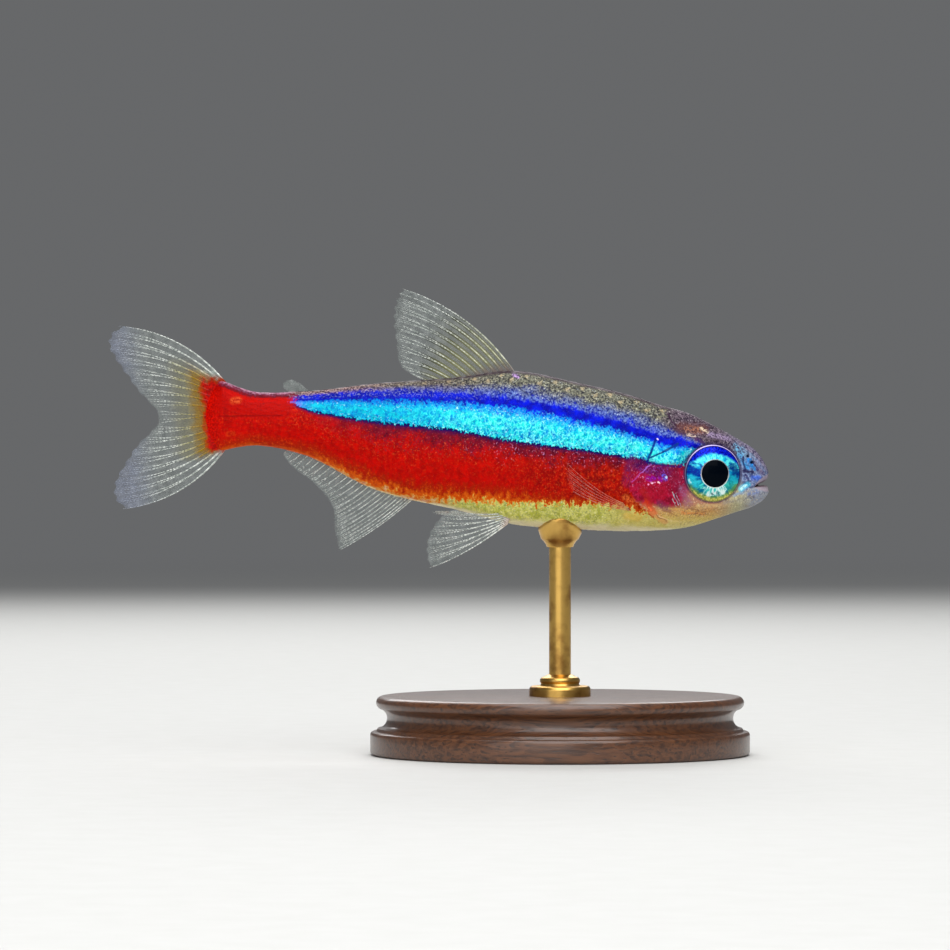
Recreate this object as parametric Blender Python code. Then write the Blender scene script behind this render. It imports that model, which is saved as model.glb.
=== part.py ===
"""A cardinal tetra as a still, life-size display model on a small turned stand.

The fish faces +X, its back is up, and Y = 0 is its plane of symmetry. The origin is the
middle of the stand's underside. Every size below is in millimetres, and MM turns it into
metres where a mesh is made.
"""

import math

import bmesh
import bpy
import numpy as np
from mathutils import Matrix, Vector

MM = 0.001
GAP = 0.3                 # air between pieces that touch in life

# The body is lofted through curved ribs. A rib crosses the back, bends towards the tail
# on the flank, where it is widest, and crosses the belly. The gill rib follows the free
# edge of the gill cover, and the last ribs curl round the lips into the mouth.
RIBS = np.array([
    # back x, z     flank x, z      belly x, z     half width
    (-23.15, 25.60, -23.15, 23.20, -23.15, 20.80, 0.50),
    (-21.24, 24.90, -21.24, 23.05, -21.24, 21.15, 0.75),
    (-17.80, 24.85, -17.80, 22.70, -17.80, 20.60, 1.10),
    (-12.70, 25.40, -12.70, 21.90, -12.70, 18.15, 1.70),
    (-6.85, 25.82, -6.85, 21.15, -6.85, 16.70, 2.25),
    (-3.00, 26.25, -3.60, 20.65, -3.10, 15.75, 2.50),
    (1.20, 25.45, -0.80, 20.10, 0.70, 15.45, 2.65),
    (5.00, 24.53, 1.70, 19.40, 4.20, 15.30, 2.70),
    (7.20, 23.82, 3.30, 18.80, 6.30, 15.33, 2.68),
    (8.50, 23.48, 4.60, 18.20, 7.60, 15.40, 2.65),
    (9.70, 22.95, 6.90, 18.50, 9.00, 15.62, 2.55),
    (11.00, 22.27, 9.30, 18.80, 10.50, 16.08, 2.35),
    (12.40, 21.46, 11.50, 18.75, 12.00, 16.58, 1.90),
    (13.45, 20.74, 12.75, 18.45, 13.30, 17.03, 1.45),
    (14.00, 19.98, 13.10, 18.33, 13.95, 17.47, 1.22),
    (14.27, 19.15, 13.28, 18.30, 14.28, 18.05, 1.12),
    (14.08, 18.75, 13.25, 18.29, 14.14, 18.40, 1.05),
    (13.70, 18.58, 13.20, 18.28, 13.70, 18.40, 0.95),
])
GILL_RIB = 9
LIP_RIB = 15
RIB_BEND = 1.6            # how sharply a rib turns forward above and below the flank
FULLNESS = 0.92           # below 1 makes the cross-section fuller than an ellipse
RING_POINTS = 40

TAIL_CUT_X = -9.3         # trunk and tail part between the dorsal and the anal fin
STALK_CUT_X = -19.2       # tail and tail stalk part behind the adipose fin
COVER_RAISE = 0.16        # the gill cover stands this much above the shoulder
COVER_REACH = 1.6         # and falls to the cheek within this distance
FURROW_DEPTH = 0.12       # the furrow in front of the gill cover's plate
FURROW_PLACE = 2.7        # its distance ahead of the gill cover's edge
FURROW_WIDTH = 0.32

EYE_X, EYE_Z = 10.38, 19.28
EYE_RADIUS = 1.98
EYE_RIM_Y = 1.74          # the rim's middle, out from the plane of symmetry
EYE_DOME = 0.80           # the dome's height over its rim
EYE_DEPTH = 0.60          # how deep the eye reaches behind its rim
EYE_TURN = 12.0           # degrees that the eye looks forward
ORBIT_REACH = 3.2         # out to here from its middle the skin swells to meet the rim
ORBIT_EDGE = 2.2
ORBIT_RISE = 0.7
PUPIL_RADIUS = 0.91
PUPIL_RAISE = 0.05

NOSTRILS = [(13.08, 20.00), (12.80, 20.42)]
NOSTRIL_RADIUS = 0.15
NOSTRIL_DEPTH = 0.28

# Fins are thickest at the root. Their rays stand out from the membrane.
MEMBRANE_ROOT = 0.30      # half thickness between the rays
MEMBRANE_TIP = 0.11
RAY_FACTOR = 1.45         # a ray's half thickness against the membrane's
SCALLOP = 0.02            # how far the margin draws in between two rays
FIN_ROWS = 7

DORSAL_RAYS = 11
DORSAL_ROOT_X = (-2.95, -8.45)
DORSAL_MARGIN = [(-10.82, 31.90), (-11.22, 31.10), (-11.20, 28.00), (-10.95, 26.65),
                 (-10.15, 26.00)]
DORSAL_BOW = 0.88

ANAL_RAYS = 20
ANAL_ROOT_X = (-9.86, -18.30)
ANAL_MARGIN = [(-15.15, 13.95), (-15.45, 15.40), (-15.55, 16.80), (-17.12, 18.79),
               (-18.35, 19.70), (-19.00, 20.55)]
ANAL_BOW = -0.22

CAUDAL_RAYS = 19
CAUDAL_ROOT = [(-23.45, 25.45), (-23.45, 20.95)]
CAUDAL_MARGIN = [(-30.20, 29.32), (-30.78, 28.75), (-29.25, 25.35), (-27.50, 23.00),
                 (-29.25, 20.80), (-30.48, 17.55), (-29.95, 16.80)]
CAUDAL_BOW = 0.92

ADIPOSE_ROOT_X = (-17.00, -18.15)
ADIPOSE_MARGIN = [(-17.75, 25.38), (-18.50, 25.66), (-18.95, 25.40), (-18.98, 25.10)]
ADIPOSE_HALF_THICKNESS = 0.25

# A paired fin is a fan of rays. Its root lies on the skin at (x, z). The leading ray
# and the last ray are given by their lengths and by two angles in degrees: how far a
# ray points down from straight back, and how far it points out from the body. "bow" is
# how far the leading ray bends towards the last one, and "taper" is the power by which
# the rays grow shorter.
PELVIC_RAYS = 8
PELVIC_ROOT = (-3.60, 16.20)
PELVIC_ROOT_WIDTH = 0.85
PELVIC_RIGHT = {"lead": (6.20, 30.0, 17.0), "last": (4.05, -3.0, 12.0), "bow": -0.42, "taper": 2.2}
PELVIC_LEFT = {"lead": (6.00, -3.0, 36.0), "last": (4.05, -6.0, 10.0), "bow": -0.30, "taper": 2.2}

PECTORAL_RAYS = 10
PECTORAL_ROOT = (4.62, 17.05)
PECTORAL_ROOT_WIDTH = 1.10
PECTORAL = {"lead": (5.30, -29.0, 19.0), "last": (5.00, -20.0, 25.0), "bow": 0.40, "taper": 1.5}

BASE_RADIUS = 13.0
BASE_HEIGHT = 4.0
BASE_SIDES = 48
BASE_FOOT = 1.6
BASE_COVE = {"middle": (12.55, 2.50), "radius": 0.70, "from": 225.0, "to": 125.0}
BASE_BEAD = {"middle": (12.15, 3.55), "radius": 0.45, "from": -60.0, "to": 90.0}
COLLAR_RADIUS = 2.1
COLLAR_HEIGHT = 1.3
ROD_RADIUS = 0.75
ROD_SIDES = 20
SADDLE_RADIUS = 1.5
SADDLE_LIP = 0.35
SADDLE_UNDERSIDE = 14.3

SKIN_COLOUR = (0.45, 0.04, 0.03, 1.0)
FIN_COLOUR = (0.75, 0.78, 0.72, 1.0)
EYE_COLOUR = (0.05, 0.32, 0.55, 1.0)
WOOD_COLOUR = (0.10, 0.045, 0.02, 1.0)
BRASS_COLOUR = (0.72, 0.50, 0.20, 1.0)


def clear_scene():
    """Remove whatever the opened file holds."""
    for item in list(bpy.data.objects):
        bpy.data.objects.remove(item, do_unlink=True)


def material(name, colour, roughness, metallic=0.0):
    """A plain Principled material."""
    made = bpy.data.materials.new(name)
    made.use_nodes = True
    shader = made.node_tree.nodes["Principled BSDF"]
    shader.inputs["Base Color"].default_value = colour
    shader.inputs["Roughness"].default_value = roughness
    shader.inputs["Metallic"].default_value = metallic
    made.diffuse_color = colour
    return made


def add_object(name, points, faces, surface, sharp_degrees=40.0):
    """An object from points in millimetres and faces, with its faces pointing out."""
    mesh = bpy.data.meshes.new(name)
    mesh.from_pydata([tuple(MM * Vector(p)) for p in points], [], faces)
    shape = bmesh.new()
    shape.from_mesh(mesh)
    bmesh.ops.recalc_face_normals(shape, faces=shape.faces)
    shape.to_mesh(mesh)
    shape.free()
    mesh.shade_smooth()
    mesh.set_sharp_from_angle(angle=math.radians(sharp_degrees))
    mesh.materials.append(surface)
    made = bpy.data.objects.new(name, mesh)
    bpy.context.scene.collection.objects.link(made)
    return made


def distances(rows):
    """Running distance along a list of points."""
    steps = np.linalg.norm(np.diff(rows, axis=0), axis=1)
    return np.concatenate(([0.0], np.cumsum(steps)))


def smooth(marks, rows, place):
    """A smooth curve through rows, read at a distance along it.

    Between two rows it is a cubic whose slopes at both ends are the mean of the slopes
    on either side, weighted so that the nearer neighbour counts for more.
    """
    gaps = np.diff(marks)
    slopes = np.diff(rows, axis=0) / gaps[:, None]
    inner = (slopes[:-1] * gaps[1:, None] + slopes[1:] * gaps[:-1, None]) / (
        gaps[:-1] + gaps[1:])[:, None]
    tangents = np.vstack((slopes[:1], inner, slopes[-1:]))
    i = int(np.clip(np.searchsorted(marks, place, side="right") - 1, 0, len(gaps) - 1))
    t = (place - marks[i]) / gaps[i]
    start = (1 + 2 * t) * (1 - t) ** 2 * rows[i] + t * (1 - t) ** 2 * gaps[i] * tangents[i]
    end = t * t * (3 - 2 * t) * rows[i + 1] - t * t * (1 - t) * gaps[i] * tangents[i + 1]
    return start + end


def along(points, fraction):
    """The point at a fraction of the way along a smooth curve through points."""
    rows = np.array(points, dtype=float)
    marks = distances(rows)
    return smooth(marks, rows, fraction * marks[-1])


RIB_MARKS = distances(RIBS[:, :6]) / math.sqrt(3)
GILL_MARK = RIB_MARKS[GILL_RIB]
LIP_MARK = RIB_MARKS[LIP_RIB]


def relief(mark, across):
    """How far the skin stands out from the plain loft: gill cover and its furrow."""
    ahead = mark - GILL_MARK
    if ahead < -0.01:
        return -0.3 * COVER_RAISE * max(0.0, 1 + ahead / COVER_REACH) * across
    cover = COVER_RAISE * max(0.0, 1 - ahead / COVER_REACH) ** 2
    furrow = FURROW_DEPTH * math.exp(-((ahead - FURROW_PLACE) / FURROW_WIDTH) ** 2)
    return (cover - furrow) * across ** 2


def orbit(x, z, half):
    """How far the skin swells round the eye, up towards the plane of its rim."""
    rim = EYE_RIM_Y - (x - EYE_X) * math.tan(math.radians(EYE_TURN))
    away = math.hypot(x - EYE_X, z - EYE_Z)
    near = max(0.0, min(1.0, (ORBIT_REACH - away) / (ORBIT_REACH - ORBIT_EDGE)))
    return ORBIT_RISE * near * near * (3 - 2 * near) * max(0.0, rim - half)


def skin(mark, angle):
    """The skin at a distance along the body and an angle: 0 back, 90 right, 180 belly."""
    back_x, back_z, flank_x, flank_z, belly_x, belly_z, width = smooth(RIB_MARKS, RIBS, mark)
    up, out = math.cos(angle), math.sin(angle)
    end_x, end_z = (back_x, back_z) if up >= 0 else (belly_x, belly_z)
    across = abs(out) ** FULLNESS
    x = flank_x + (end_x - flank_x) * abs(up) ** RIB_BEND
    z = flank_z + (end_z - flank_z) * abs(up)
    half = (width + relief(mark, abs(out))) * across
    half += orbit(x, z, half) * min(1.0, 4 * abs(out))
    return Vector((x, -math.copysign(half, out), z))


def mark_at(x, angle_at):
    """Distance along the body at which the skin crosses x, found by halving."""
    low, high = 0.0, LIP_MARK
    for _ in range(40):
        middle = (low + high) / 2
        if skin(middle, angle_at(middle)).x < x:
            low = middle
        else:
            high = middle
    return low


def back_height(x):
    """Height of the back at x."""
    return skin(mark_at(x, lambda mark: 0.0), 0.0).z


def belly_height(x, y=0.0):
    """Height of the belly at (x, y)."""
    def angle_at(mark):
        half = smooth(RIB_MARKS, RIBS, mark)[6]
        return math.pi - math.asin(min(1.0, (abs(y) / half) ** (1 / FULLNESS)))
    mark = mark_at(x, angle_at)
    return skin(mark, angle_at(mark)).z


def flank_width(x, z):
    """Half the body's width at (x, z)."""
    def angle_at(mark):
        _, back_z, _, flank_z, _, belly_z, _ = smooth(RIB_MARKS, RIBS, mark)
        reach = back_z - flank_z if z > flank_z else flank_z - belly_z
        return math.acos(max(-1.0, min(1.0, (z - flank_z) / reach)))
    mark = mark_at(x, angle_at)
    return -skin(mark, angle_at(mark)).y


def loft(name, marks, surface):
    """A closed length of the body with a ring at each mark and a flat-ruled cap at its ends."""
    count = RING_POINTS
    angles = [2 * math.pi * k / count for k in range(count)]
    points = [skin(mark, angle) for mark in marks for angle in angles]
    faces = []
    for row in range(len(marks) - 1):
        for k in range(count):
            a, b = row * count + k, row * count + (k + 1) % count
            faces.append((a, b, b + count, a + count))
    for first in (0, (len(marks) - 1) * count):
        faces.append((first, first + 1, first + count - 1))
        for k in range(1, count // 2 - 1):
            faces.append((first + k, first + k + 1, first + count - k - 1, first + count - k))
        low = first + count // 2
        faces.append((low - 1, low, low + 1))
    return add_object(name, points, faces, surface, 60.0)


def cutter(name, points, faces, target):
    """A hidden shape that is cut out of the target."""
    tool = add_object(name, points, faces, target.data.materials[0])
    tool.hide_render = True
    tool.display_type = "WIRE"
    cut = target.modifiers.new(name, "BOOLEAN")
    cut.operation = "DIFFERENCE"
    cut.solver = "EXACT"
    cut.object = tool


def turned_shape(profile, sides, place):
    """Points and faces of a profile of (radius, height) pairs turned about its own axis.

    A height may be a function of x and y, for a rim or a face that isn't level.
    """
    points, rings = [], []
    for radius, height in profile:
        ring = [len(points)]
        if radius > 0:
            ring = list(range(len(points), len(points) + sides))
        for k in range(len(ring)):
            x = radius * math.cos(2 * math.pi * k / sides)
            y = radius * math.sin(2 * math.pi * k / sides)
            points.append(place @ Vector((x, y, height(x, y) if callable(height) else height)))
        rings.append(ring)
    faces = []
    for low, high in zip(rings, rings[1:]):
        for k in range(sides):
            n = (k + 1) % sides
            if len(low) == 1:
                faces.append((low[0], high[k], high[n]))
            elif len(high) == 1:
                faces.append((low[k], low[n], high[0]))
            else:
                faces.append((low[k], low[n], high[n], high[k]))
    return points, faces


def eye_place(side):
    """Where an eye sits: its axis points out of the head and a little forward."""
    turn = Matrix.Rotation(math.radians(-side * EYE_TURN), 4, "Z")
    lay = Matrix.Rotation(math.radians(-side * 90), 4, "X")
    return Matrix.Translation((EYE_X, side * EYE_RIM_Y, EYE_Z)) @ turn @ lay


def dome_height(radius):
    """Height of the eye's dome over its rim, a cap of a sphere."""
    sphere = (EYE_RADIUS ** 2 + EYE_DOME ** 2) / (2 * EYE_DOME)
    return math.sqrt(sphere ** 2 - radius ** 2) - (sphere - EYE_DOME)


def add_eye(name, side, surface):
    """An eye: a flat back, a short wall, and a dome with the pupil slightly raised."""
    profile = [(0.0, -EYE_DEPTH), (EYE_RADIUS - 0.15, -EYE_DEPTH), (EYE_RADIUS, -EYE_DEPTH + 0.15)]
    for radius in (EYE_RADIUS, 1.72, 1.40, 1.12, PUPIL_RADIUS + 0.06):
        profile.append((radius, dome_height(radius)))
    for radius in (PUPIL_RADIUS, 0.55):
        profile.append((radius, dome_height(radius) + PUPIL_RAISE))
    profile.append((0.0, EYE_DOME + PUPIL_RAISE))
    points, faces = turned_shape(profile, 36, eye_place(side))
    add_object(name, points, faces, surface)


def cut_socket(name, side, head):
    """The hole that an eye sits in, wider and deeper than the eye by the gap."""
    reach = EYE_RADIUS + GAP
    profile = [(0.0, -EYE_DEPTH - GAP), (reach, -EYE_DEPTH - GAP), (reach, 3.0), (0.0, 3.0)]
    points, faces = turned_shape(profile, 36, eye_place(side))
    cutter(name, points, faces, head)


def cut_nostrils(side, head):
    """Two small pits, one behind the other, on each side of the snout."""
    for number, (x, z) in enumerate(NOSTRILS):
        surface_y = side * flank_width(x, z)
        lean = Matrix.Rotation(math.radians(-side * 55), 4, "X")
        place = Matrix.Translation((x, surface_y, z)) @ lean
        profile = [(0.0, -NOSTRIL_DEPTH), (0.7 * NOSTRIL_RADIUS, -NOSTRIL_DEPTH),
                   (NOSTRIL_RADIUS, 0.0), (1.4 * NOSTRIL_RADIUS, 0.4), (0.0, 0.4)]
        points, faces = turned_shape(profile, 12, place)
        word = "left" if side > 0 else "right"
        cutter(f"nostril_{word}_{number + 1}", points, faces, head)


def add_body(surface):
    """Head, trunk, tail and tail stalk, parted by thin cuts along ribs."""
    tail_cut = mark_at(TAIL_CUT_X, lambda mark: math.pi / 2)
    stalk_cut = mark_at(STALK_CUT_X, lambda mark: math.pi / 2)
    cheek = RIB_MARKS[GILL_RIB + 3]
    head_marks = np.concatenate((
        GILL_MARK + np.array([0.0, 0.25, 0.6, 1.05]),
        np.linspace(GILL_MARK + 1.5, cheek, 11),
        np.linspace(cheek, LIP_MARK, 13)[1:],
        np.linspace(LIP_MARK, RIB_MARKS[-1], 6)[1:]))
    shoulder = GILL_MARK - GAP
    head = loft("head", head_marks, surface)
    loft("trunk", np.append(np.linspace(tail_cut + GAP / 2, shoulder - 0.5, 14), shoulder), surface)
    loft("tail", np.linspace(stalk_cut + GAP / 2, tail_cut - GAP / 2, 10), surface)
    loft("tail_stalk", np.linspace(0.0, stalk_cut - GAP / 2, 5), surface)
    for side, word in ((1, "left"), (-1, "right")):
        cut_socket(f"socket_{word}", side, head)
        cut_nostrils(side, head)


def fin_sheet(name, root_at, tip_at, bow_at, rays, normal, surface):
    """A thin closed sheet with rays as ridges.

    root_at, tip_at and bow_at give a ray's root, its tip and how far its middle bends,
    for a fraction from the first ray to the last. Even columns are rays, odd ones lie
    between. Both faces are split along the same diagonals, so they never cross.
    """
    columns = 2 * rays - 1
    points = []
    for face in (1, -1):
        for column in range(columns):
            fraction = column / (columns - 1)
            on_ray = column % 2 == 0
            root, tip = Vector(root_at(fraction)), Vector(tip_at(fraction))
            tip = root.lerp(tip, 1.0 if on_ray else 1.0 - SCALLOP)
            for row in range(FIN_ROWS):
                t = row / (FIN_ROWS - 1)
                half = MEMBRANE_ROOT + (MEMBRANE_TIP - MEMBRANE_ROOT) * t ** 2.5
                half *= RAY_FACTOR if on_ray and row > 0 else 1.0
                middle = root.lerp(tip, t) + 4 * t * (1 - t) * Vector(bow_at(fraction))
                points.append(middle + face * half * Vector(normal))
    return add_object(name, points, sheet_faces(columns, FIN_ROWS), surface, 80.0)


def sheet_faces(columns, rows):
    """Triangles of two like grids, front then back, and of the edge that joins them."""
    back = columns * rows
    faces, edge = [], []
    for column in range(columns - 1):
        for row in range(rows - 1):
            a = column * rows + row
            b, c, d = a + rows, a + rows + 1, a + 1
            for corners in ((a, b, c), (a, c, d)):
                faces.append(corners)
                faces.append(tuple(back + corner for corner in reversed(corners)))
    edge += [column * rows for column in range(columns)]
    edge += [(columns - 1) * rows + row for row in range(1, rows)]
    edge += [column * rows + rows - 1 for column in range(columns - 2, -1, -1)]
    edge += [row for row in range(rows - 2, 0, -1)]
    for this, following in zip(edge, edge[1:] + edge[:1]):
        faces.append((this, this + back, following + back))
        faces.append((this, following + back, following))
    return faces


def median_fin(name, root_at, margin, bow, rays, surface):
    """A fin in the plane of symmetry. Its margin runs from the first ray to the last."""
    def tip_at(fraction):
        x, z = along(margin, fraction)
        return x, 0.0, z

    def bow_at(fraction):
        chord = Vector(tip_at(fraction)) - Vector(root_at(fraction))
        across = Vector((chord.z, 0.0, -chord.x)).normalized()
        return bow(fraction) * across

    fin_sheet(name, root_at, tip_at, bow_at, rays, (0.0, 1.0, 0.0), surface)


def add_median_fins(surface):
    """Dorsal, anal and caudal fin."""
    def dorsal_root(fraction):
        x = DORSAL_ROOT_X[0] + fraction * (DORSAL_ROOT_X[1] - DORSAL_ROOT_X[0])
        return x, 0.0, back_height(x) + GAP

    def anal_root(fraction):
        x = ANAL_ROOT_X[0] + fraction * (ANAL_ROOT_X[1] - ANAL_ROOT_X[0])
        return x, 0.0, belly_height(x) - GAP

    def caudal_root(fraction):
        x, z = along(CAUDAL_ROOT, fraction)
        return x, 0.0, z

    median_fin("dorsal_fin", dorsal_root, DORSAL_MARGIN,
               lambda fraction: DORSAL_BOW * (1 - fraction), DORSAL_RAYS, surface)
    median_fin("anal_fin", anal_root, ANAL_MARGIN,
               lambda fraction: ANAL_BOW * (1 - fraction), ANAL_RAYS, surface)
    median_fin("caudal_fin", caudal_root, CAUDAL_MARGIN,
               lambda fraction: CAUDAL_BOW * (1 - 2 * fraction), CAUDAL_RAYS, surface)


def add_adipose_fin(surface):
    """The small fleshy fin without rays in front of the tail stalk."""
    rows, columns = 4, 6
    points = []
    for face in (1, -1):
        for column in range(columns):
            fraction = column / (columns - 1)
            x = ADIPOSE_ROOT_X[0] + fraction * (ADIPOSE_ROOT_X[1] - ADIPOSE_ROOT_X[0])
            root = Vector((x, 0.0, back_height(x) + GAP))
            tip_x, tip_z = along(ADIPOSE_MARGIN, fraction)
            for row in range(rows):
                t = row / (rows - 1)
                half = ADIPOSE_HALF_THICKNESS * (1 - 0.55 * t * t)
                points.append(root.lerp(Vector((tip_x, 0.0, tip_z)), t) + Vector((0.0, face * half, 0.0)))
    add_object("adipose_fin", points, sheet_faces(columns, rows), surface, 60.0)


def ray_vector(ray, side):
    """A ray from its length, its angle below straight back and its angle outwards."""
    length, down, out = ray
    down, out = math.radians(down), math.radians(out)
    return length * Vector((-math.cos(down) * math.cos(out), side * math.sin(out),
                            -math.sin(down) * math.cos(out)))


def paired_fin(name, side, root, root_width, pose, rays, surface):
    """A fan of rays from a short root on the flank."""
    lead, last = ray_vector(pose["lead"], side), ray_vector(pose["last"], side)
    normal = lead.cross(last).normalized()
    spread = (last - lead).normalized()
    out = flank_width(*root) + GAP + MEMBRANE_ROOT
    foot = Vector((root[0], side * out, root[1]))

    def root_at(fraction):
        return foot + (fraction - 0.5) * root_width * spread

    def tip_at(fraction):
        heading = lead.normalized().lerp(last.normalized(), fraction).normalized()
        length = lead.length + (last.length - lead.length) * fraction ** pose["taper"]
        return foot + (fraction - 0.5) * root_width * spread + length * heading

    def bow_at(fraction):
        return pose["bow"] * (1 - fraction) * spread

    fin_sheet(name, root_at, tip_at, bow_at, rays, normal, surface)


def add_paired_fins(surface):
    """Pelvic and pectoral fins."""
    for side, word, pose in ((1, "left", PELVIC_LEFT), (-1, "right", PELVIC_RIGHT)):
        paired_fin(f"pelvic_fin_{word}", side, PELVIC_ROOT, PELVIC_ROOT_WIDTH, pose,
                   PELVIC_RAYS, surface)
        paired_fin(f"pectoral_fin_{word}", side, PECTORAL_ROOT, PECTORAL_ROOT_WIDTH, PECTORAL,
                   PECTORAL_RAYS, surface)


def turned_piece(name, profile, sides, surface):
    """A piece of the stand turned about the rod's axis."""
    points, faces = turned_shape(profile, sides, Matrix.Identity(4))
    add_object(name, points, faces, surface)


def moulding(shape, steps):
    """Points of a cove or a bead: an arc in the profile, as (radius, height) pairs."""
    points = []
    for step in range(steps + 1):
        angle = math.radians(shape["from"] + (shape["to"] - shape["from"]) * step / steps)
        points.append((shape["middle"][0] + shape["radius"] * math.cos(angle),
                       shape["middle"][1] + shape["radius"] * math.sin(angle)))
    return points


def add_stand(wood, brass):
    """A round wooden base with a foot, a cove and a bead, a collar and a rod, all turned."""
    profile = [(0.0, 0.0), (BASE_RADIUS - 0.25, 0.0), (BASE_RADIUS, 0.25),
               (BASE_RADIUS, BASE_FOOT - 0.25), (BASE_RADIUS - 0.25, BASE_FOOT),
               (BASE_COVE["middle"][0], BASE_FOOT + 0.1)]
    profile += moulding(BASE_COVE, 4) + moulding(BASE_BEAD, 4) + [(0.0, BASE_HEIGHT)]
    turned_piece("stand_base", profile, BASE_SIDES, wood)
    collar_low = BASE_HEIGHT + GAP
    collar_top = collar_low + COLLAR_HEIGHT
    turned_piece("stand_collar", [
        (0.0, collar_low), (COLLAR_RADIUS, collar_low), (COLLAR_RADIUS, collar_low + 0.35),
        (1.3, collar_low + 0.6), (1.15, collar_top), (0.0, collar_top)], 28, brass)
    rod_low, rod_top = collar_top + GAP, SADDLE_UNDERSIDE - GAP
    turned_piece("stand_rod", [
        (0.0, rod_low), (ROD_RADIUS, rod_low), (ROD_RADIUS, rod_top), (0.0, rod_top)],
        ROD_SIDES, brass)


def add_saddle(brass):
    """A small cup whose upper face follows the belly at the gap's distance."""
    def face(x, y):
        return belly_height(x, y) - GAP

    def lip(x, y):
        return face(x, y) - SADDLE_LIP

    profile = [(0.0, SADDLE_UNDERSIDE), (ROD_RADIUS + 0.15, SADDLE_UNDERSIDE), (SADDLE_RADIUS, lip)]
    profile += [(SADDLE_RADIUS * step / 4, face) for step in range(4, -1, -1)]
    turned_piece("stand_saddle", profile, ROD_SIDES, brass)


def main():
    """Build the fish and its stand."""
    clear_scene()
    skin_surface = material("skin", SKIN_COLOUR, 0.30)
    fin_surface = material("fin", FIN_COLOUR, 0.35)
    eye_surface = material("eye", EYE_COLOUR, 0.08)
    wood = material("wood", WOOD_COLOUR, 0.35)
    brass = material("brass", BRASS_COLOUR, 0.25, 1.0)
    add_body(skin_surface)
    add_eye("eye_left", 1, eye_surface)
    add_eye("eye_right", -1, eye_surface)
    add_median_fins(fin_surface)
    add_adipose_fin(fin_surface)
    add_paired_fins(fin_surface)
    add_stand(wood, brass)
    add_saddle(brass)


main()
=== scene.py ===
# %% [markdown]
# A cardinal tetra, 45 mm long, as a museum shows it: a painted, life-size model on a
# turned wooden base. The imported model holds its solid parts. This script dresses them:
# one skin from snout to tail, a coat of thin scales, glass eyes, fins of clear web and
# fine rays, and a stand of wood and brass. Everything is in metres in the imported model's
# own frame, so the first step is to load that.

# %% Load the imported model
import math

import bmesh
import bpy
import numpy as np
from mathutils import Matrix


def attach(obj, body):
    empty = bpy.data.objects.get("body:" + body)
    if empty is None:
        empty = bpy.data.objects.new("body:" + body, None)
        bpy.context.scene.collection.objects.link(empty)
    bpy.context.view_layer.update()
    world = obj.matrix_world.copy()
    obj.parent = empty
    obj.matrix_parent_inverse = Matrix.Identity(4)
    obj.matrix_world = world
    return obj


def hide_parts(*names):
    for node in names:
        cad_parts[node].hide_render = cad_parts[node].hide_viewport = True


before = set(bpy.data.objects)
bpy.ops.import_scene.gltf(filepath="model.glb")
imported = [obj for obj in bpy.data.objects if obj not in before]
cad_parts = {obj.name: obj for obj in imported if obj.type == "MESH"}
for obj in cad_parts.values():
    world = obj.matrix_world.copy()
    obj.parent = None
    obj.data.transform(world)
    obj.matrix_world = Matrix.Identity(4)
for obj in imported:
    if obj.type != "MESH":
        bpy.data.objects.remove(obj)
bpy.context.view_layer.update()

# %% [markdown]

# %% [markdown]
# Shaders are easier to read as sums than as boxes and cables. The class below wraps one
# socket of a material. Adding or multiplying two of these wires adds the Math node that
# does it, and any other node comes from one method. Colours are given as on a paint
# chart, three numbers up to 255, which one helper makes linear for the shader. A
# ready-made node group would also do, but a reader could not see its sums in the text.

# %% A wire that can be used in sums
MM = 0.001
COLOUR_OUTPUT = 1          # of a noise, whose first output is the plain number


def paint(red, green, blue):
    """A linear colour: each share is (s / 12.92) when dark, else ((s + 0.055) / 1.055) ^ 2.4."""
    share = np.array((red, green, blue)) / 255
    linear = np.where(share < 0.04, share / 12.92, ((share + 0.055) / 1.055) ** 2.4)
    return (*linear.tolist(), 1.0)


def sum_of(operation, reflected=False):
    """The method behind an operator: the Math node of a wire and the other value."""
    def method(wire, other):
        return wire.math(operation, *((other, wire) if reflected else (wire, other)))
    return method


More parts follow.
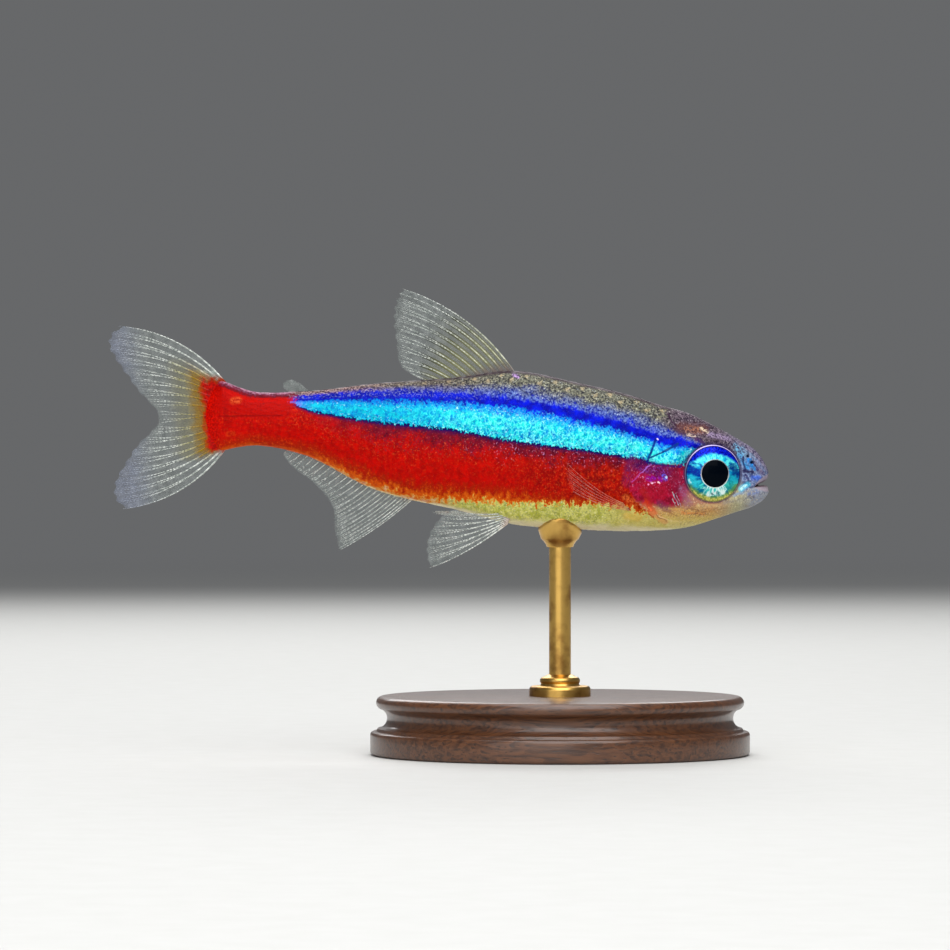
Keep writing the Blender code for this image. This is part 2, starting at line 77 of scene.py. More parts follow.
class Wire:
    """A shader socket. Sums written with wires and numbers add the nodes that work them out."""

    __add__, __radd__ = sum_of("ADD"), sum_of("ADD", True)
    __sub__, __rsub__ = sum_of("SUBTRACT"), sum_of("SUBTRACT", True)
    __mul__, __rmul__ = sum_of("MULTIPLY"), sum_of("MULTIPLY", True)

    def __init__(self, tree, socket=None):
        self.tree, self.socket = tree, socket

    def node(self, kind, settings=None, sockets=None, output=0):
        """Add a node: its settings first, then values or wires for its sockets."""
        made = self.tree.nodes.new("ShaderNode" + kind)
        for name, value in (settings or {}).items():
            if name == "stops":
                stops = made.color_ramp.elements
                while len(stops) < len(value):
                    stops.new(1.0)
                for stop, (place, colour) in zip(stops, value):
                    stop.position, stop.color = place, paint(*colour)
            else:
                setattr(made, name, value)
        for name, value in (sockets or {}).items():
            if isinstance(value, Wire):
                self.tree.links.new(value.socket, made.inputs[name])
            else:
                made.inputs[name].default_value = value
        return Wire(self.tree, made.outputs[output] if made.outputs else None)

    def also(self, output):
        """Another output of the same node."""
        return Wire(self.tree, self.socket.node.outputs[output])

    def value(self, name):
        """A number that the piece carries at each of its points."""
        return self.node("Attribute", {"attribute_name": name}, output="Fac")

    def math(self, operation, *values):
        """Any Math node. The operators come from it too."""
        return self.node("Math", {"operation": operation}, dict(enumerate(values)))

    def clamp(self):
        """The number held between 0 and 1."""
        return self.node("Clamp", {}, {0: self})

    def step(self, low, high):
        """A soft step: 0 below low, 1 above high, and falling instead when low is the higher."""
        return self.node("MapRange", {"interpolation_type": "SMOOTHSTEP"},
                         {0: self, 1: low, 2: high})

    def ramp(self, low, high, stops):
        """Colours by the number's place between low and high."""
        share = self.node("MapRange", {}, {0: self, 1: low, 2: high})
        return self.node("ValToRGB", {"stops": stops}, {0: share})

    def mix(self, first, second):
        """The first colour where this wire is 0 and the second where it is 1."""
        first, second = [tone if isinstance(tone, Wire) else paint(*tone) for tone in (first, second)]
        return self.node("Mix", {"data_type": "RGBA"}, {0: self, 6: first, 7: second}, 2)

    def coats(self, *rows):
        """This colour under coats of paint. Each row is a mask and the colour it lets through."""
        colour = self
        for mask, tone in rows:
            colour = mask.mix(colour, tone)
        return colour

    def vector(self, operation, other=(0.0, 0.0, 0.0), output=0):
        """Vector Math on this wire and one more vector."""
        return self.node("VectorMath", {"operation": operation}, {0: self, 1: other}, output)

    def split(self):
        """The vector's x. Its y and z are outputs 1 and 2 of the same node."""
        return self.node("SeparateXYZ", {}, {0: self})

    def noise(self, scale, detail=2.0):
        """Cloudy noise from 0 to 1 read at this wire's place, stretched by three scales."""
        if isinstance(scale, tuple):
            return self.vector("MULTIPLY", scale).noise(1.0, detail)
        return self.node("TexNoise", {}, {"Vector": self, "Scale": scale, "Detail": detail})

    def drift(self, scale, detail, reach):
        """A push in x and z by up to half of reach each way, from a coloured noise."""
        push = self.noise(scale, detail).also(COLOUR_OUTPUT).vector("SUBTRACT", (0.5, 0.5, 0.5))
        return push.vector("MULTIPLY", (reach, 0.0, reach))

    def bump(self, strength, depth):
        """A normal that has this wire as height; the depth is in millimetres."""
        return self.node("Bump", {}, {"Strength": strength, "Distance": depth * MM, "Height": self})


# %% [markdown]
# Materials come from two helpers. Each takes a function that works out the shader or
# its sockets, so that a finish further down is one short function. Places are read in
# millimetres, the unit that all sizes in this script are written in.

# %% Materials
def material(name, shader_of):
    """A material whose surface is the shader that shader_of works out."""
    made = bpy.data.materials.new(name)
    made.use_nodes = True
    made.node_tree.nodes.clear()
    start = Wire(made.node_tree)
    start.node("OutputMaterial", {}, {"Surface": shader_of(start)})
    return made


def principled(name, sockets_of):
    """A Principled material whose sockets are those that sockets_of works out."""
    return material(name, lambda w: w.node("BsdfPrincipled", {}, sockets_of(w)))


def millimetres(w):
    """The place on the piece in millimetres."""
    place = w.node("TexCoord", output="Object")
    return place.node("VectorMath", {"operation": "SCALE"}, {0: place, 3: 1 / MM})


# %% [markdown]
# Every new piece here is a surface worked out with numpy: points on a grid of two
# parameters, then squares between neighbours. Modelling by hand would also do, but a
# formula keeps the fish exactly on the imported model's sizes. One function numbers the
# squares, and one turns points and faces into an object with its attributes, its maps
# and its place in the frame.

# %% Grids and pieces
def squares(rows, columns, wrap=False):
    """Corner numbers of a grid's squares: (row, column), (row, column + 1) and the two above."""
    number = np.arange(rows * columns).reshape(rows, columns)
    if wrap:
        number = np.concatenate((number, number[:, :1]), axis=1)
    corners = (number[:-1, :-1], number[:-1, 1:], number[1:, 1:], number[1:, :-1])
    return np.stack(corners, axis=-1).reshape(-1, 4)


def repeat_faces(faces, points_each, copies):
    """The same faces for each copy: every copy adds points_each to the corner numbers."""
    shift = points_each * np.arange(copies)[:, None, None]
    return (faces[None] + shift).reshape(-1, faces.shape[1])


def add_piece(name, nodes, points, faces, finish, values=None, maps=None, sharp=None):
    """An object from points in millimetres, which stands for the named nodes of the model."""
    mesh = bpy.data.meshes.new(name)
    corners = [face for block in faces for face in block.tolist()]
    mesh.from_pydata((MM * points.reshape(-1, 3)).tolist(), [], corners)
    shape = bmesh.new()
    shape.from_mesh(mesh)
    bmesh.ops.recalc_face_normals(shape, faces=shape.faces)
    shape.to_mesh(mesh)
    shape.free()
    mesh.shade_smooth()
    if sharp:
        mesh.set_sharp_from_angle(angle=math.radians(sharp))
    for key, value in (values or {}).items():
        layer = mesh.attributes.new(key, "FLOAT", "POINT")
        layer.data.foreach_set("value", value.astype(np.float32).ravel())
    corner_point = np.zeros(len(mesh.loops), np.int32)
    mesh.loops.foreach_get("vertex_index", corner_point)
    for key, value in (maps or {}).items():
        layer = mesh.uv_layers.new(name=key)
        layer.data.foreach_set("uv", value.reshape(-1, 2)[corner_point].astype(np.float32).ravel())
    mesh.materials.append(finish)
    piece = bpy.data.objects.new(name, mesh)
    bpy.context.scene.collection.objects.link(piece)
    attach(piece, "root")
    if nodes:
        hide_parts(*nodes)
    print(name, "has", sum(len(face) - 2 for face in corners), "triangles")


# %% [markdown]
# The body of the fish is a loft through curved ribs, as a boat is planked over frames.
# Each row below is one rib: where it crosses the back, the flank and the belly, and how
# wide it stands there. A smooth curve through the rows gives a rib at any distance along
# the body, so skin and scales can be as fine as they need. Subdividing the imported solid
# would be shorter, but it would round off the gill cover and the lips.

# %% The ribs of the body
RIBS = np.array([
    # back x, z     flank x, z      belly x, z     half width
    (-23.15, 25.60, -23.15, 23.20, -23.15, 20.80, 0.50),
    (-21.24, 24.90, -21.24, 23.05, -21.24, 21.15, 0.75),
    (-17.80, 24.85, -17.80, 22.70, -17.80, 20.60, 1.10),
    (-12.70, 25.40, -12.70, 21.90, -12.70, 18.15, 1.70),
    (-6.85, 25.82, -6.85, 21.15, -6.85, 16.70, 2.25),
    (-3.00, 26.25, -3.60, 20.65, -3.10, 15.75, 2.50),
    (1.20, 25.45, -0.80, 20.10, 0.70, 15.45, 2.65),
    (5.00, 24.53, 1.70, 19.40, 4.20, 15.30, 2.70),
    (7.20, 23.82, 3.30, 18.80, 6.30, 15.33, 2.68),
    (8.50, 23.48, 4.60, 18.20, 7.60, 15.40, 2.65),
    (9.70, 22.95, 6.90, 18.50, 9.00, 15.62, 2.55),
    (11.00, 22.27, 9.30, 18.80, 10.50, 16.08, 2.35),
    (12.40, 21.46, 11.50, 18.75, 12.00, 16.58, 1.90),
    (13.45, 20.74, 12.75, 18.45, 13.30, 17.03, 1.45),
    (14.00, 19.98, 13.10, 18.33, 13.95, 17.47, 1.22),
    (14.27, 19.15, 13.28, 18.30, 14.28, 18.05, 1.12),
    (14.08, 18.75, 13.25, 18.29, 14.14, 18.40, 1.05),
    (13.70, 18.58, 13.20, 18.28, 13.70, 18.40, 0.95),
])
GILL_RIB = 9
LIP_RIB = 15
RIB_BEND = 1.6
FULLNESS = 0.92
COVER_RAISE, COVER_REACH = 0.16, 1.6
FURROW_DEPTH, FURROW_PLACE, FURROW_WIDTH = 0.12, 2.7, 0.32
EYE_X, EYE_Z, EYE_RADIUS = 10.38, 19.28, 1.98
EYE_RIM_Y, EYE_TURN, EYE_DOME = 1.74, math.radians(12.0), 0.80
ORBIT_REACH, ORBIT_EDGE = 3.0, 2.05
SOCKET_DEPTH, SOCKET_SLOPE = 0.35, 0.25
NOSTRILS = [(13.08, 20.00, 0.15), (12.80, 20.42, 0.13)]     # x, z, radius
NOSTRIL_DEPTH, NOSTRIL_RIM = 0.16, 0.03
TAIL_WEDGE = 1.1          # the fleshy tail base ends in a wedge this long
TAIL_STEP = 0.25          # its share above and below, where the wedge is short
JAW_LINE = ((13.26, 18.31), (12.30, 17.83), (11.80, 17.55))
CREASE_DEPTH, CREASE_WIDTH = 0.035, 0.09


def smooth(marks, rows, place):
    """A cubic between two rows whose slopes are the weighted means of the slopes beside them."""
    gaps = np.diff(marks)
    slopes = np.diff(rows, axis=0) / gaps[:, None]
    inner = (slopes[:-1] * gaps[1:, None] + slopes[1:] * gaps[:-1, None]) / (
        gaps[:-1] + gaps[1:])[:, None]
    tangents = np.vstack((slopes[:1], inner, slopes[-1:]))
    i = np.clip(np.searchsorted(marks, place, side="right") - 1, 0, len(gaps) - 1)
    t, gap = ((place - marks[i]) / gaps[i])[..., None], gaps[i][..., None]
    start = (1 + 2 * t) * (1 - t) ** 2 * rows[i] + t * (1 - t) ** 2 * gap * tangents[i]
    return start + t * t * (3 - 2 * t) * rows[i + 1] - t * t * (1 - t) * gap * tangents[i + 1]


def distances(rows):
    """Running distance along a list of points."""
    return np.concatenate(([0.0], np.cumsum(np.linalg.norm(np.diff(rows, axis=0), axis=1))))


def soft_step(share):
    """3 s^2 - 2 s^3, held between 0 and 1."""
    share = np.clip(share, 0, 1)
    return share * share * (3 - 2 * share)


RIB_MARKS = distances(RIBS[:, :6]) / math.sqrt(3)
GILL_MARK, LIP_MARK, MOUTH_MARK = RIB_MARKS[GILL_RIB], RIB_MARKS[LIP_RIB], RIB_MARKS[-1]
print("gill cover at", round(GILL_MARK, 1), "mm and lips at", round(LIP_MARK, 1), "mm along the body")

# %% [markdown]
# On top of the plain loft the skin has small forms: the gill cover stands out over the
# shoulder, a furrow runs in front of it, the cheek rises to the rim of the eye and dips
# under it, two nostrils are pressed into each side of the snout, and a crease runs down
# from the corner of the mouth. Each is a few hundredths to tenths of a millimetre, so
# they are added as formulas to the width of the loft and not modelled apart.

# %% The skin as a formula
def relief(mark, across):
    """Gill cover and furrow: a bump that falls off forward, and a bell-shaped groove."""
    ahead = mark - GILL_MARK
    behind = -0.3 * COVER_RAISE * np.maximum(0, 1 + ahead / COVER_REACH) * across
    cover = COVER_RAISE * np.maximum(0, 1 - ahead / COVER_REACH) ** 2
    furrow = FURROW_DEPTH * np.exp(-((ahead - FURROW_PLACE) / FURROW_WIDTH) ** 2)
    return np.where(ahead < -0.01, behind, (cover - furrow) * across ** 2)


def stroke_distance(x, z, start, end):
    """Distance in side view from (x, z) to a straight stroke."""
    along_x, along_z = end[0] - start[0], end[1] - start[1]
    share = ((x - start[0]) * along_x + (z - start[1]) * along_z) / (along_x ** 2 + along_z ** 2)
    share = np.clip(share, 0, 1)
    return np.hypot(x - start[0] - share * along_x, z - start[1] - share * along_z)


def head_forms(x, z, half):
    """Half width with the orbit, the eye's socket, the nostrils and the jaw crease."""
    rim = EYE_RIM_Y - (x - EYE_X) * math.tan(EYE_TURN)
    away = np.hypot((x - EYE_X) / math.cos(EYE_TURN), z - EYE_Z)
    near = soft_step((ORBIT_REACH - away) / (ORBIT_REACH - ORBIT_EDGE))
    half = half + near * (rim - half)
    half = half - SOCKET_DEPTH * soft_step((EYE_RADIUS - 0.04 - away) / SOCKET_SLOPE)
    for nostril_x, nostril_z, radius in NOSTRILS:
        pit = np.hypot(x - nostril_x, z - nostril_z) / radius
        half = half - NOSTRIL_DEPTH * np.exp(-pit ** 4) + NOSTRIL_RIM * np.exp(-((pit - 1.5) / 0.4) ** 2)
    for start, end in zip(JAW_LINE, JAW_LINE[1:]):
        half = half - CREASE_DEPTH * np.exp(-(stroke_distance(x, z, start, end) / CREASE_WIDTH) ** 2)
    return half


def skin(mark, angle):
    """The skin at a distance along the body and an angle: 0 back, pi/2 right side, pi belly.

    Height goes with the cosine of the angle and width with its sine. The rib leans
    forward by the cosine to the power RIB_BEND. Behind mark 0 the width falls to a thin
    edge, as the remaining length to the power 0.8, which closes the tail base.
    """
    mark, angle = np.broadcast_arrays(mark, angle)
    rib = np.moveaxis(smooth(RIB_MARKS, RIBS, np.maximum(mark, 0.0)), -1, 0)
    back_x, back_z, flank_x, flank_z, belly_x, belly_z, width = rib
    up, out = np.cos(angle), np.sin(angle)
    x = flank_x + (np.where(up > 0, back_x, belly_x) - flank_x) * np.abs(up) ** RIB_BEND
    z = flank_z + (np.where(up > 0, back_z, belly_z) - flank_z) * np.abs(up)
    half = (width + relief(mark, np.abs(out))) * np.abs(out) ** FULLNESS
    behind = np.clip(-mark / TAIL_WEDGE, 0, 1)
    x = x - behind * TAIL_WEDGE * (TAIL_STEP + (1 - TAIL_STEP) * (1 - up ** 2))
    half = half * (1 - 0.95 * behind) ** 0.8
    share = np.minimum(1, 4 * np.abs(out))
    half = half + share * (head_forms(x, z, half) - half)
    return np.stack((x, -np.sign(out) * half, z), axis=-1)


# %% [markdown]
# Equal steps of the angle bunch up on the flank, because the body is much higher than
# wide, and a coat of scales needs even steps. So a table holds, for a few hundred
# marks, the angles that split the ring there into even arcs. It comes from the running
# length round each ring, read backwards.

# %% Even steps round the body
TABLE_MARKS = np.linspace(-TAIL_WEDGE, MOUTH_MARK, 320)
TABLE_SHARES = np.linspace(0, 1, 257)
RING_STEPS = 720


def angle_table():
    """Angles at even shares of the running length, all rings in one long increasing list."""
    around = np.linspace(0, 2 * math.pi, RING_STEPS + 1)
    rings = skin(TABLE_MARKS[:, None], around[None, :])
    steps = np.linalg.norm(np.diff(rings, axis=1), axis=2)
    run = np.concatenate((np.zeros((len(steps), 1)), np.cumsum(steps, axis=1)), axis=1)
    ring_number = 2 * np.arange(len(run))[:, None]
    spots = run / run[:, -1:] + ring_number
    wanted = TABLE_SHARES[None, :] + ring_number
    found = np.interp(wanted.ravel(), spots.ravel(), np.tile(around, len(run)))
    return found.reshape(wanted.shape), run[:, -1]


ANGLES, GIRTHS = angle_table()


def angle_at(mark, share):
    """The table read between its rows and columns; a share past 1 goes round again."""
    turns = np.floor(share)
    row = np.interp(mark, TABLE_MARKS, np.arange(len(TABLE_MARKS)))
    column = (share - turns) * (len(TABLE_SHARES) - 1)
    i = np.minimum(row.astype(int), len(TABLE_MARKS) - 2)
    j = np.minimum(column.astype(int), len(TABLE_SHARES) - 2)
    a, b = row - i, column - j
    low = (1 - b) * ANGLES[i, j] + b * ANGLES[i, j + 1]
    high = (1 - b) * ANGLES[i + 1, j] + b * ANGLES[i + 1, j + 1]
    return (1 - a) * low + a * high + 2 * math.pi * turns


print("the body is", round(GIRTHS.max(), 1), "mm round at its thickest")

# %% [markdown]
# The fish is known by its bands: cream belly, red flank, neon stripe, deep blue edge and
# olive back. They run along the whole body at changing heights, so the skin carries one
# number, its layer: 0 on the belly line, 1 where the red starts, 2 under the neon
# stripe, 3 at its top, 4 where the deep blue ends and 5 on the ridge of the back. A
# material then paints by that number. Painting by height alone would not follow the
# curves, and a picture wrapped on the fish would not be a material.

# %% Where the bands run
BAND_LINES = [
    # red's lower edge, bottom and top of the neon stripe, top of the deep blue, as (x, z)
    [(-24.3, 20.3), (-23.15, 20.58), (-21.24, 20.94), (-17.8, 20.46), (-16.44, 20.06),
     (-15.07, 19.42), (-13.7, 18.8),
     (-12.33, 18.28), (-10.96, 17.88), (-9.59, 17.62), (-8.22, 17.54), (-4.11, 17.42),
     (0.0, 17.21), (2.74, 17.21), (5.48, 16.73), (6.51, 16.25), (8.5, 16.0), (14.3, 17.6)],
    [(-24.3, 24.9), (-23.15, 24.85), (-21.24, 24.15), (-19.0, 24.2), (-18.29, 24.1),
     (-17.13, 23.58), (-15.07, 23.18),
     (-12.33, 22.8), (-9.59, 22.52), (-6.85, 22.21), (-4.11, 21.67), (-1.37, 21.25),
     (1.37, 20.91), (4.0, 20.5), (4.6, 20.3), (5.2, 20.42), (6.0, 20.08), (6.6, 19.84),
     (8.0, 19.72), (8.5, 20.1), (9.2, 20.6), (14.3, 19.0)],
    [(-24.3, 25.1), (-23.15, 25.0), (-21.24, 24.28), (-19.0, 24.28), (-18.5, 24.16),
     (-17.81, 24.2), (-15.07, 24.27),
     (-9.59, 24.27), (-6.85, 24.13), (-4.11, 23.86), (-1.37, 23.45), (1.37, 22.83),
     (4.0, 22.25), (5.0, 21.92), (6.3, 21.5), (7.2, 21.12), (7.9, 21.0), (8.6, 21.08), (9.2, 21.0),
     (10.5, 20.8), (14.3, 19.3)],
    [(-24.3, 25.3), (-23.15, 25.15), (-21.24, 24.42), (-19.0, 24.38), (-18.5, 24.4),
     (-17.81, 24.56), (-16.44, 24.68),
     (-13.7, 24.87), (-10.96, 24.97), (-8.22, 24.86), (-5.48, 24.63), (-2.74, 24.35),
     (0.0, 23.86), (2.74, 23.24), (5.0, 22.5), (6.0, 22.15), (6.8, 21.86), (8.0, 21.75),
     (8.7, 21.5), (9.4, 21.15), (10.8, 21.1), (14.3, 19.5)],
]
OUTLINE_POINTS = 400
THINNEST_BAND = 0.02


def contour(angle):
    """The outline's heights in side view: x and z along the back or the belly."""
    line = skin(np.linspace(-TAIL_WEDGE, LIP_MARK, OUTLINE_POINTS), angle)
    return line[:, 0], line[:, 2]


def layer(x, z):
    """Sum of how far z has climbed through each band, each held between 0 and 1."""
    belly, back = np.interp(x, *contour(math.pi)), np.interp(x, *contour(0.0))
    lines = [np.clip(np.interp(x, *np.array(line).T), belly, back - 0.05) for line in BAND_LINES]
    total = np.zeros_like(x)
    for low, high in zip([belly] + lines, lines + [back]):
        total += np.clip((z - low) / np.maximum(high - low, THINNEST_BAND), 0, 1)
    return total


# %% [markdown]
# Now the body's paint. On the real fish the colours come from crystals and pigment cells
# in the skin, so close up every band is a glitter of tiny cells. The function below
# paints the bands from the belly up, each over the last one. Two fine noises a tenth of
# a millimetre wide give the bright and the dark grains and break the edges of the bands,
# and coarser ones give flames and clouds. Skin and scales both call it, so they carry
# the same markings.

# %% Paint of the bands
SIDE_VIEW = (1.0, 0.0, 1.0)


def grains(place):
    """Fine grain with its bright and dark spots, then sparks and pits from a second noise."""
    grain = place.noise((7.6, 7.6, 6.2))
    sand = place.vector("ADD", (3.3, 7.7, 5.1)).noise(8.4)
    return (grain, grain.step(0.53, 0.66), grain.step(0.47, 0.34),
            sand.step(0.58, 0.7), sand.step(0.42, 0.32))


def band_paint(w):
    """Colour, metallic share and bump height of the body's bands, belly first."""
    place = millimetres(w)
    x = place.split()
    layers = w.value("layer")
    above_red = w.value("above_red")
    luck = place.vector("MULTIPLY", (6.4, 6.4, 5.0))
    luck = luck.node("TexVoronoi", {}, {"Vector": luck, "Scale": 1.0}, "Color")
    luck = luck.node("SeparateColor", {}, {0: luck})
    grain, bright, dark, spark, pit = grains(place)
    squiggle = place.noise((3.8, 3.8, 3.0)) - 0.5
    squiggle = squiggle.math("ABSOLUTE", squiggle)
    mottle = place.noise((3.0, 3.0, 2.2), 3.0)
    streak = place.noise((3.8, 3.0, 1.5), 3.0)
    wobble = place.noise(0.9, 3.0) - 0.5
    rough = grain - 0.5

    # belly: yellow-green silver with small flecks, cream at the very bottom
    belly = mottle.step(0.36, 0.6).mix((192, 194, 78), (230, 228, 128)).coats(
        (dark * 0.55, (136, 144, 92)),
        (streak.step(0.54, 0.7) * 0.35, (150, 150, 58)),
        (pit * 0.4, (128, 146, 120)),
        (spark * 0.7, (250, 248, 196)),
        (x.step(-6.5, -9.5), grain.step(0.4, 0.6).mix((214, 128, 84), (244, 196, 158))),
        (x.step(2.5, 5.0) * 0.6, (226, 206, 120)))
    colour = (layers + 0.3 * wobble + 0.2 * rough).step(0.34, 0.06).mix(belly, (248, 240, 196))

    # red flank, darker towards the head, with flames along its lower edge
    red = mottle.step(0.28, 0.72).mix((172, 3, 0), (204, 6, 0)).coats(
        (x.step(-6.0, 3.0) * 0.85, mottle.step(0.32, 0.66).mix((118, 6, 6), (176, 20, 4))))
    busy = (layers + wobble).step(1.15, 1.05) + (layers + wobble).step(1.45, 1.7) + x.step(-6.0, 2.0)
    busy = 0.25 + 0.75 * busy.clamp()
    red = red.coats(
        (bright * busy * 0.28, (232, 66, 12)),
        (dark * busy * 0.35, (96, 0, 2)),
        (spark * busy * 0.3, (255, 110, 50)))
    flame = above_red + (1.7 * (streak - 0.5) + 0.8 * rough) * (0.25 + 0.75 * x.step(-18.5, -14.0))
    flame = flame * (1.0 + 0.9 * x.step(-5.0, 1.0))
    orange = x.step(-5.0, 1.0).mix((222, 92, 12), (196, 70, 14))
    ember = flame.step(-0.22, 0.1).mix((236, 180, 70), orange).coats(
        (flame.step(0.1, 0.55), bright.mix((172, 32, 4), (206, 66, 8))),
        (flame.step(0.4, 1.3), red))
    colour = flame.step(-0.34, -0.04).mix(colour, ember)

    # dusky purple zone, then a thin dark line under the stripe
    dusk = (layers + 0.5 * wobble + 0.7 * rough).step(1.62, 1.92) * x.step(-19.0, -12.0)
    glints = (luck + x.step(-3.0, -9.0)).step(0.3, 0.9).mix((214, 150, 216), (206, 92, 76))
    dusky = mottle.step(0.35, 0.65).mix((76, 6, 34), (124, 14, 40)).coats(
        (dark * 0.6, (44, 0, 34)),
        (spark * (0.25 + 0.4 * x.step(-12.0, -3.0)), glints))
    colour = colour.coats(
        (dusk * 0.9, dusky),
        ((layers + 0.1 * rough).step(1.88, 1.96) * 0.6, (58, 4, 66)),
        ((layers + 0.08 * rough).step(1.935, 1.975), (10, 8, 88)))

    # neon stripe: smooth glowing clouds, grainy along both edges, then the smooth deep blue
    ragged = 0.18 + 0.5 * x.step(5.0, 6.5)
    low_edge = (layers + ragged * rough + 0.04 * (luck - 0.5)).step(1.985, 2.015)
    ends = layers.step(2.4, 2.1) + layers.step(2.45, 2.8)
    cloud = place.noise((1.5, 1.5, 1.9), 3.0)
    front = 0.35 + 0.65 * x.step(-13.0, -5.0)
    thread = x.step(-12.0, -3.0).mix((24, 226, 230), (110, 246, 236))
    neon = mottle.step(0.34, 0.62).mix((0, 132, 204), (0, 190, 206)).coats(
        (cloud.step(0.44, 0.66) * layers.step(2.95, 2.6) * front * 0.8, (36, 228, 214)),
        (squiggle.step(0.13, 0.2) * (0.45 + 0.25 * layers.step(2.7, 2.1)), (0, 92, 180)),
        (squiggle.step(0.07, 0.035) * (0.2 + 0.8 * luck), thread),
        (bright * (0.16 + 0.4 * ends), (16, 216, 230)),
        (dark * (0.2 + 0.5 * ends), (0, 100, 190)),
        (pit * layers.step(2.45, 2.0) * 0.9, (0, 40, 104)),
        (layers.step(2.5, 3.0) * 0.6, (0, 96, 214)),
        (spark * luck.step(0.25, 0.75) * (0.1 + 0.8 * ends), (190, 250, 244)),
        (x.step(-5.0, -13.0) * 0.35, (0, 112, 170)),
        (x.step(-16.6, -18.3) * 0.75, luck.mix((24, 40, 196), (120, 110, 230))))
    blue = cloud.step(0.34, 0.66).mix((0, 4, 142), (0, 20, 198)).coats(
        (spark * 0.25, (0, 60, 236)),
        (dark * 0.2, (0, 0, 104)),
        (x.step(-3.0, -9.0) * 0.3, (10, 26, 130)))
    dusty = (spark + 0.6 * bright) * layers.step(3.15, 3.55)
    blue = (dusty * x.step(-3.0, -9.0) * 0.75).mix(blue, (124, 132, 168))
    scatter = (layers + 0.7 * rough + 0.25 * (luck - 0.5) + 0.35 * wobble).step(2.8, 3.12)
    colour = low_edge.mix(colour, scatter.mix(neon, blue))

    # back: blue-grey grains that turn olive, golden scale middles that are partly painted highlight, mauve
    # ridge
    grey = grain.step(0.34, 0.66).mix((50, 50, 52), (132, 132, 114)).coats(
        (pit * 0.75, (30, 28, 38)),
        (spark * 0.7, luck.mix((196, 206, 214), (232, 222, 172))))
    tint = (layers + 0.6 * wobble + 0.3 * rough).step(4.62, 4.06)
    steel = grain.step(0.36, 0.64).mix((16, 34, 128), (84, 116, 206))
    grey = (tint * 0.85).mix(grey, (spark * 0.6).mix(steel, (170, 190, 232)))
    core = w.value("core")
    # golden middles of the upper scales: partly their own colour, partly a painted highlight where each
    # scale faces the light
    gold = (core + 0.7 * rough).step(0.3, 0.7) * layers.step(4.45, 4.7) * (0.1 + 0.55 * luck)
    grey = grey.coats(
        (gold, (206, 184, 142)),
        (x.step(-3.0, -9.0) * 0.4, grain.step(0.4, 0.6).mix((48, 32, 40), (126, 100, 100))),
        (x.step(-10.0, -16.0) * 0.45, grain.step(0.4, 0.6).mix((92, 44, 58), (190, 142, 146))),
        ((layers + 0.2 * rough).step(4.86, 4.96), (66, 52, 60)))
    edge = (layers + 0.6 * rough + 0.8 * (streak - 0.5) + 0.4 * wobble).step(3.76, 4.24)
    colour = edge.mix(colour, grey)

    # the stripe ends before the tail stalk, whose upper edge is dark and its ridge pale; the pale ridge is
    # partly pale tissue and partly a painted highlight along the top
    stalk = (x + 1.6 * rough).step(-17.9, -18.6) * layers.step(1.5, 1.75)
    ridge = (layers + 1.2 * rough + 0.6 * wobble).ramp(2.0, 5.0, [
        (0.0, (184, 6, 0)), (0.62, (168, 6, 2)), (0.76, (104, 8, 28)),
        (0.9, (126, 56, 80)), (1.0, (180, 128, 152))])
    ridge = (dark * 0.3).mix(ridge, (84, 0, 10))
    tail_red = place.noise(9.0).step(0.35, 0.65).mix((160, 4, 0), (214, 12, 0))
    colour = colour.coats((stalk, ridge), ((x + rough).step(-23.1, -23.8), tail_red))
    flat = place.vector("MULTIPLY", SIDE_VIEW)
    colour = brush(colour, flat, grain, SHOULDER_STROKES + STALK_STROKES)

    metal = 0.04 + 0.3 * (low_edge * (1 - edge))
    return colour, metal, 0.6 * spark + 0.4 * bright


def layer_values(points):
    """The layer and the height over the red's lower edge at each point, as the paint reads them."""
    x, z = points[..., 0], points[..., 2]
    return {"layer": layer(x, z), "above_red": z - np.interp(x, *np.array(BAND_LINES[0]).T)}


# %% [markdown]
# The head has no scales, and its markings are single spots and strokes rather than
# bands. A model painter would put them on with a small brush, so here is a list of brush
# strokes: where each starts and ends by x and z in millimetres, how wide it is, how
# strong, how broken, and its colour. A spot is a very short stroke. Both sides of the
# fish get them, since they ignore y. Grain frays every edge.

# %% Brush strokes
# start x, z, end x, z, width, strength, brokenness, then red, green and blue
SHOULDER_STROKES = [
    (4.9, 20.1, 4.6, 18.7, 0.42, 0.6, 0.7, 104, 30, 92),  # purple behind the cover
    (4.4, 17.6, 5.1, 17.2, 0.24, 0.65, 0.9, 236, 116, 52),  # orange at the cover's edge
    (4.5, 16.35, 5.3, 16.2, 0.26, 0.6, 0.3, 234, 190, 80),  # yellow below it
    (4.55, 16.84, 4.62, 16.8, 0.1, 0.8, 0.2, 104, 34, 84),  # root of the breast fin
]
STALK_STROKES = [
    # painted highlight: a lilac glint before the back fin
    (-3.15, 25.96, -2.9, 25.84, 0.15, 0.75, 0.9, 196, 150, 226),  # lilac before the back fin
    (-22.35, 24.2, -22.0, 24.25, 0.24, 0.65, 0.9, 236, 104, 50),  # knobs over the tail's root
    (-22.7, 21.95, -22.4, 22.0, 0.2, 0.4, 0.9, 222, 72, 20),
    (-23.3, 23.15, -19.0, 23.2, 0.06, 0.6, 0.4, 116, 0, 4),  # line along the middle
    (-22.9, 23.6, -22.6, 22.5, 0.18, 0.4, 0.6, 120, 2, 2),
]
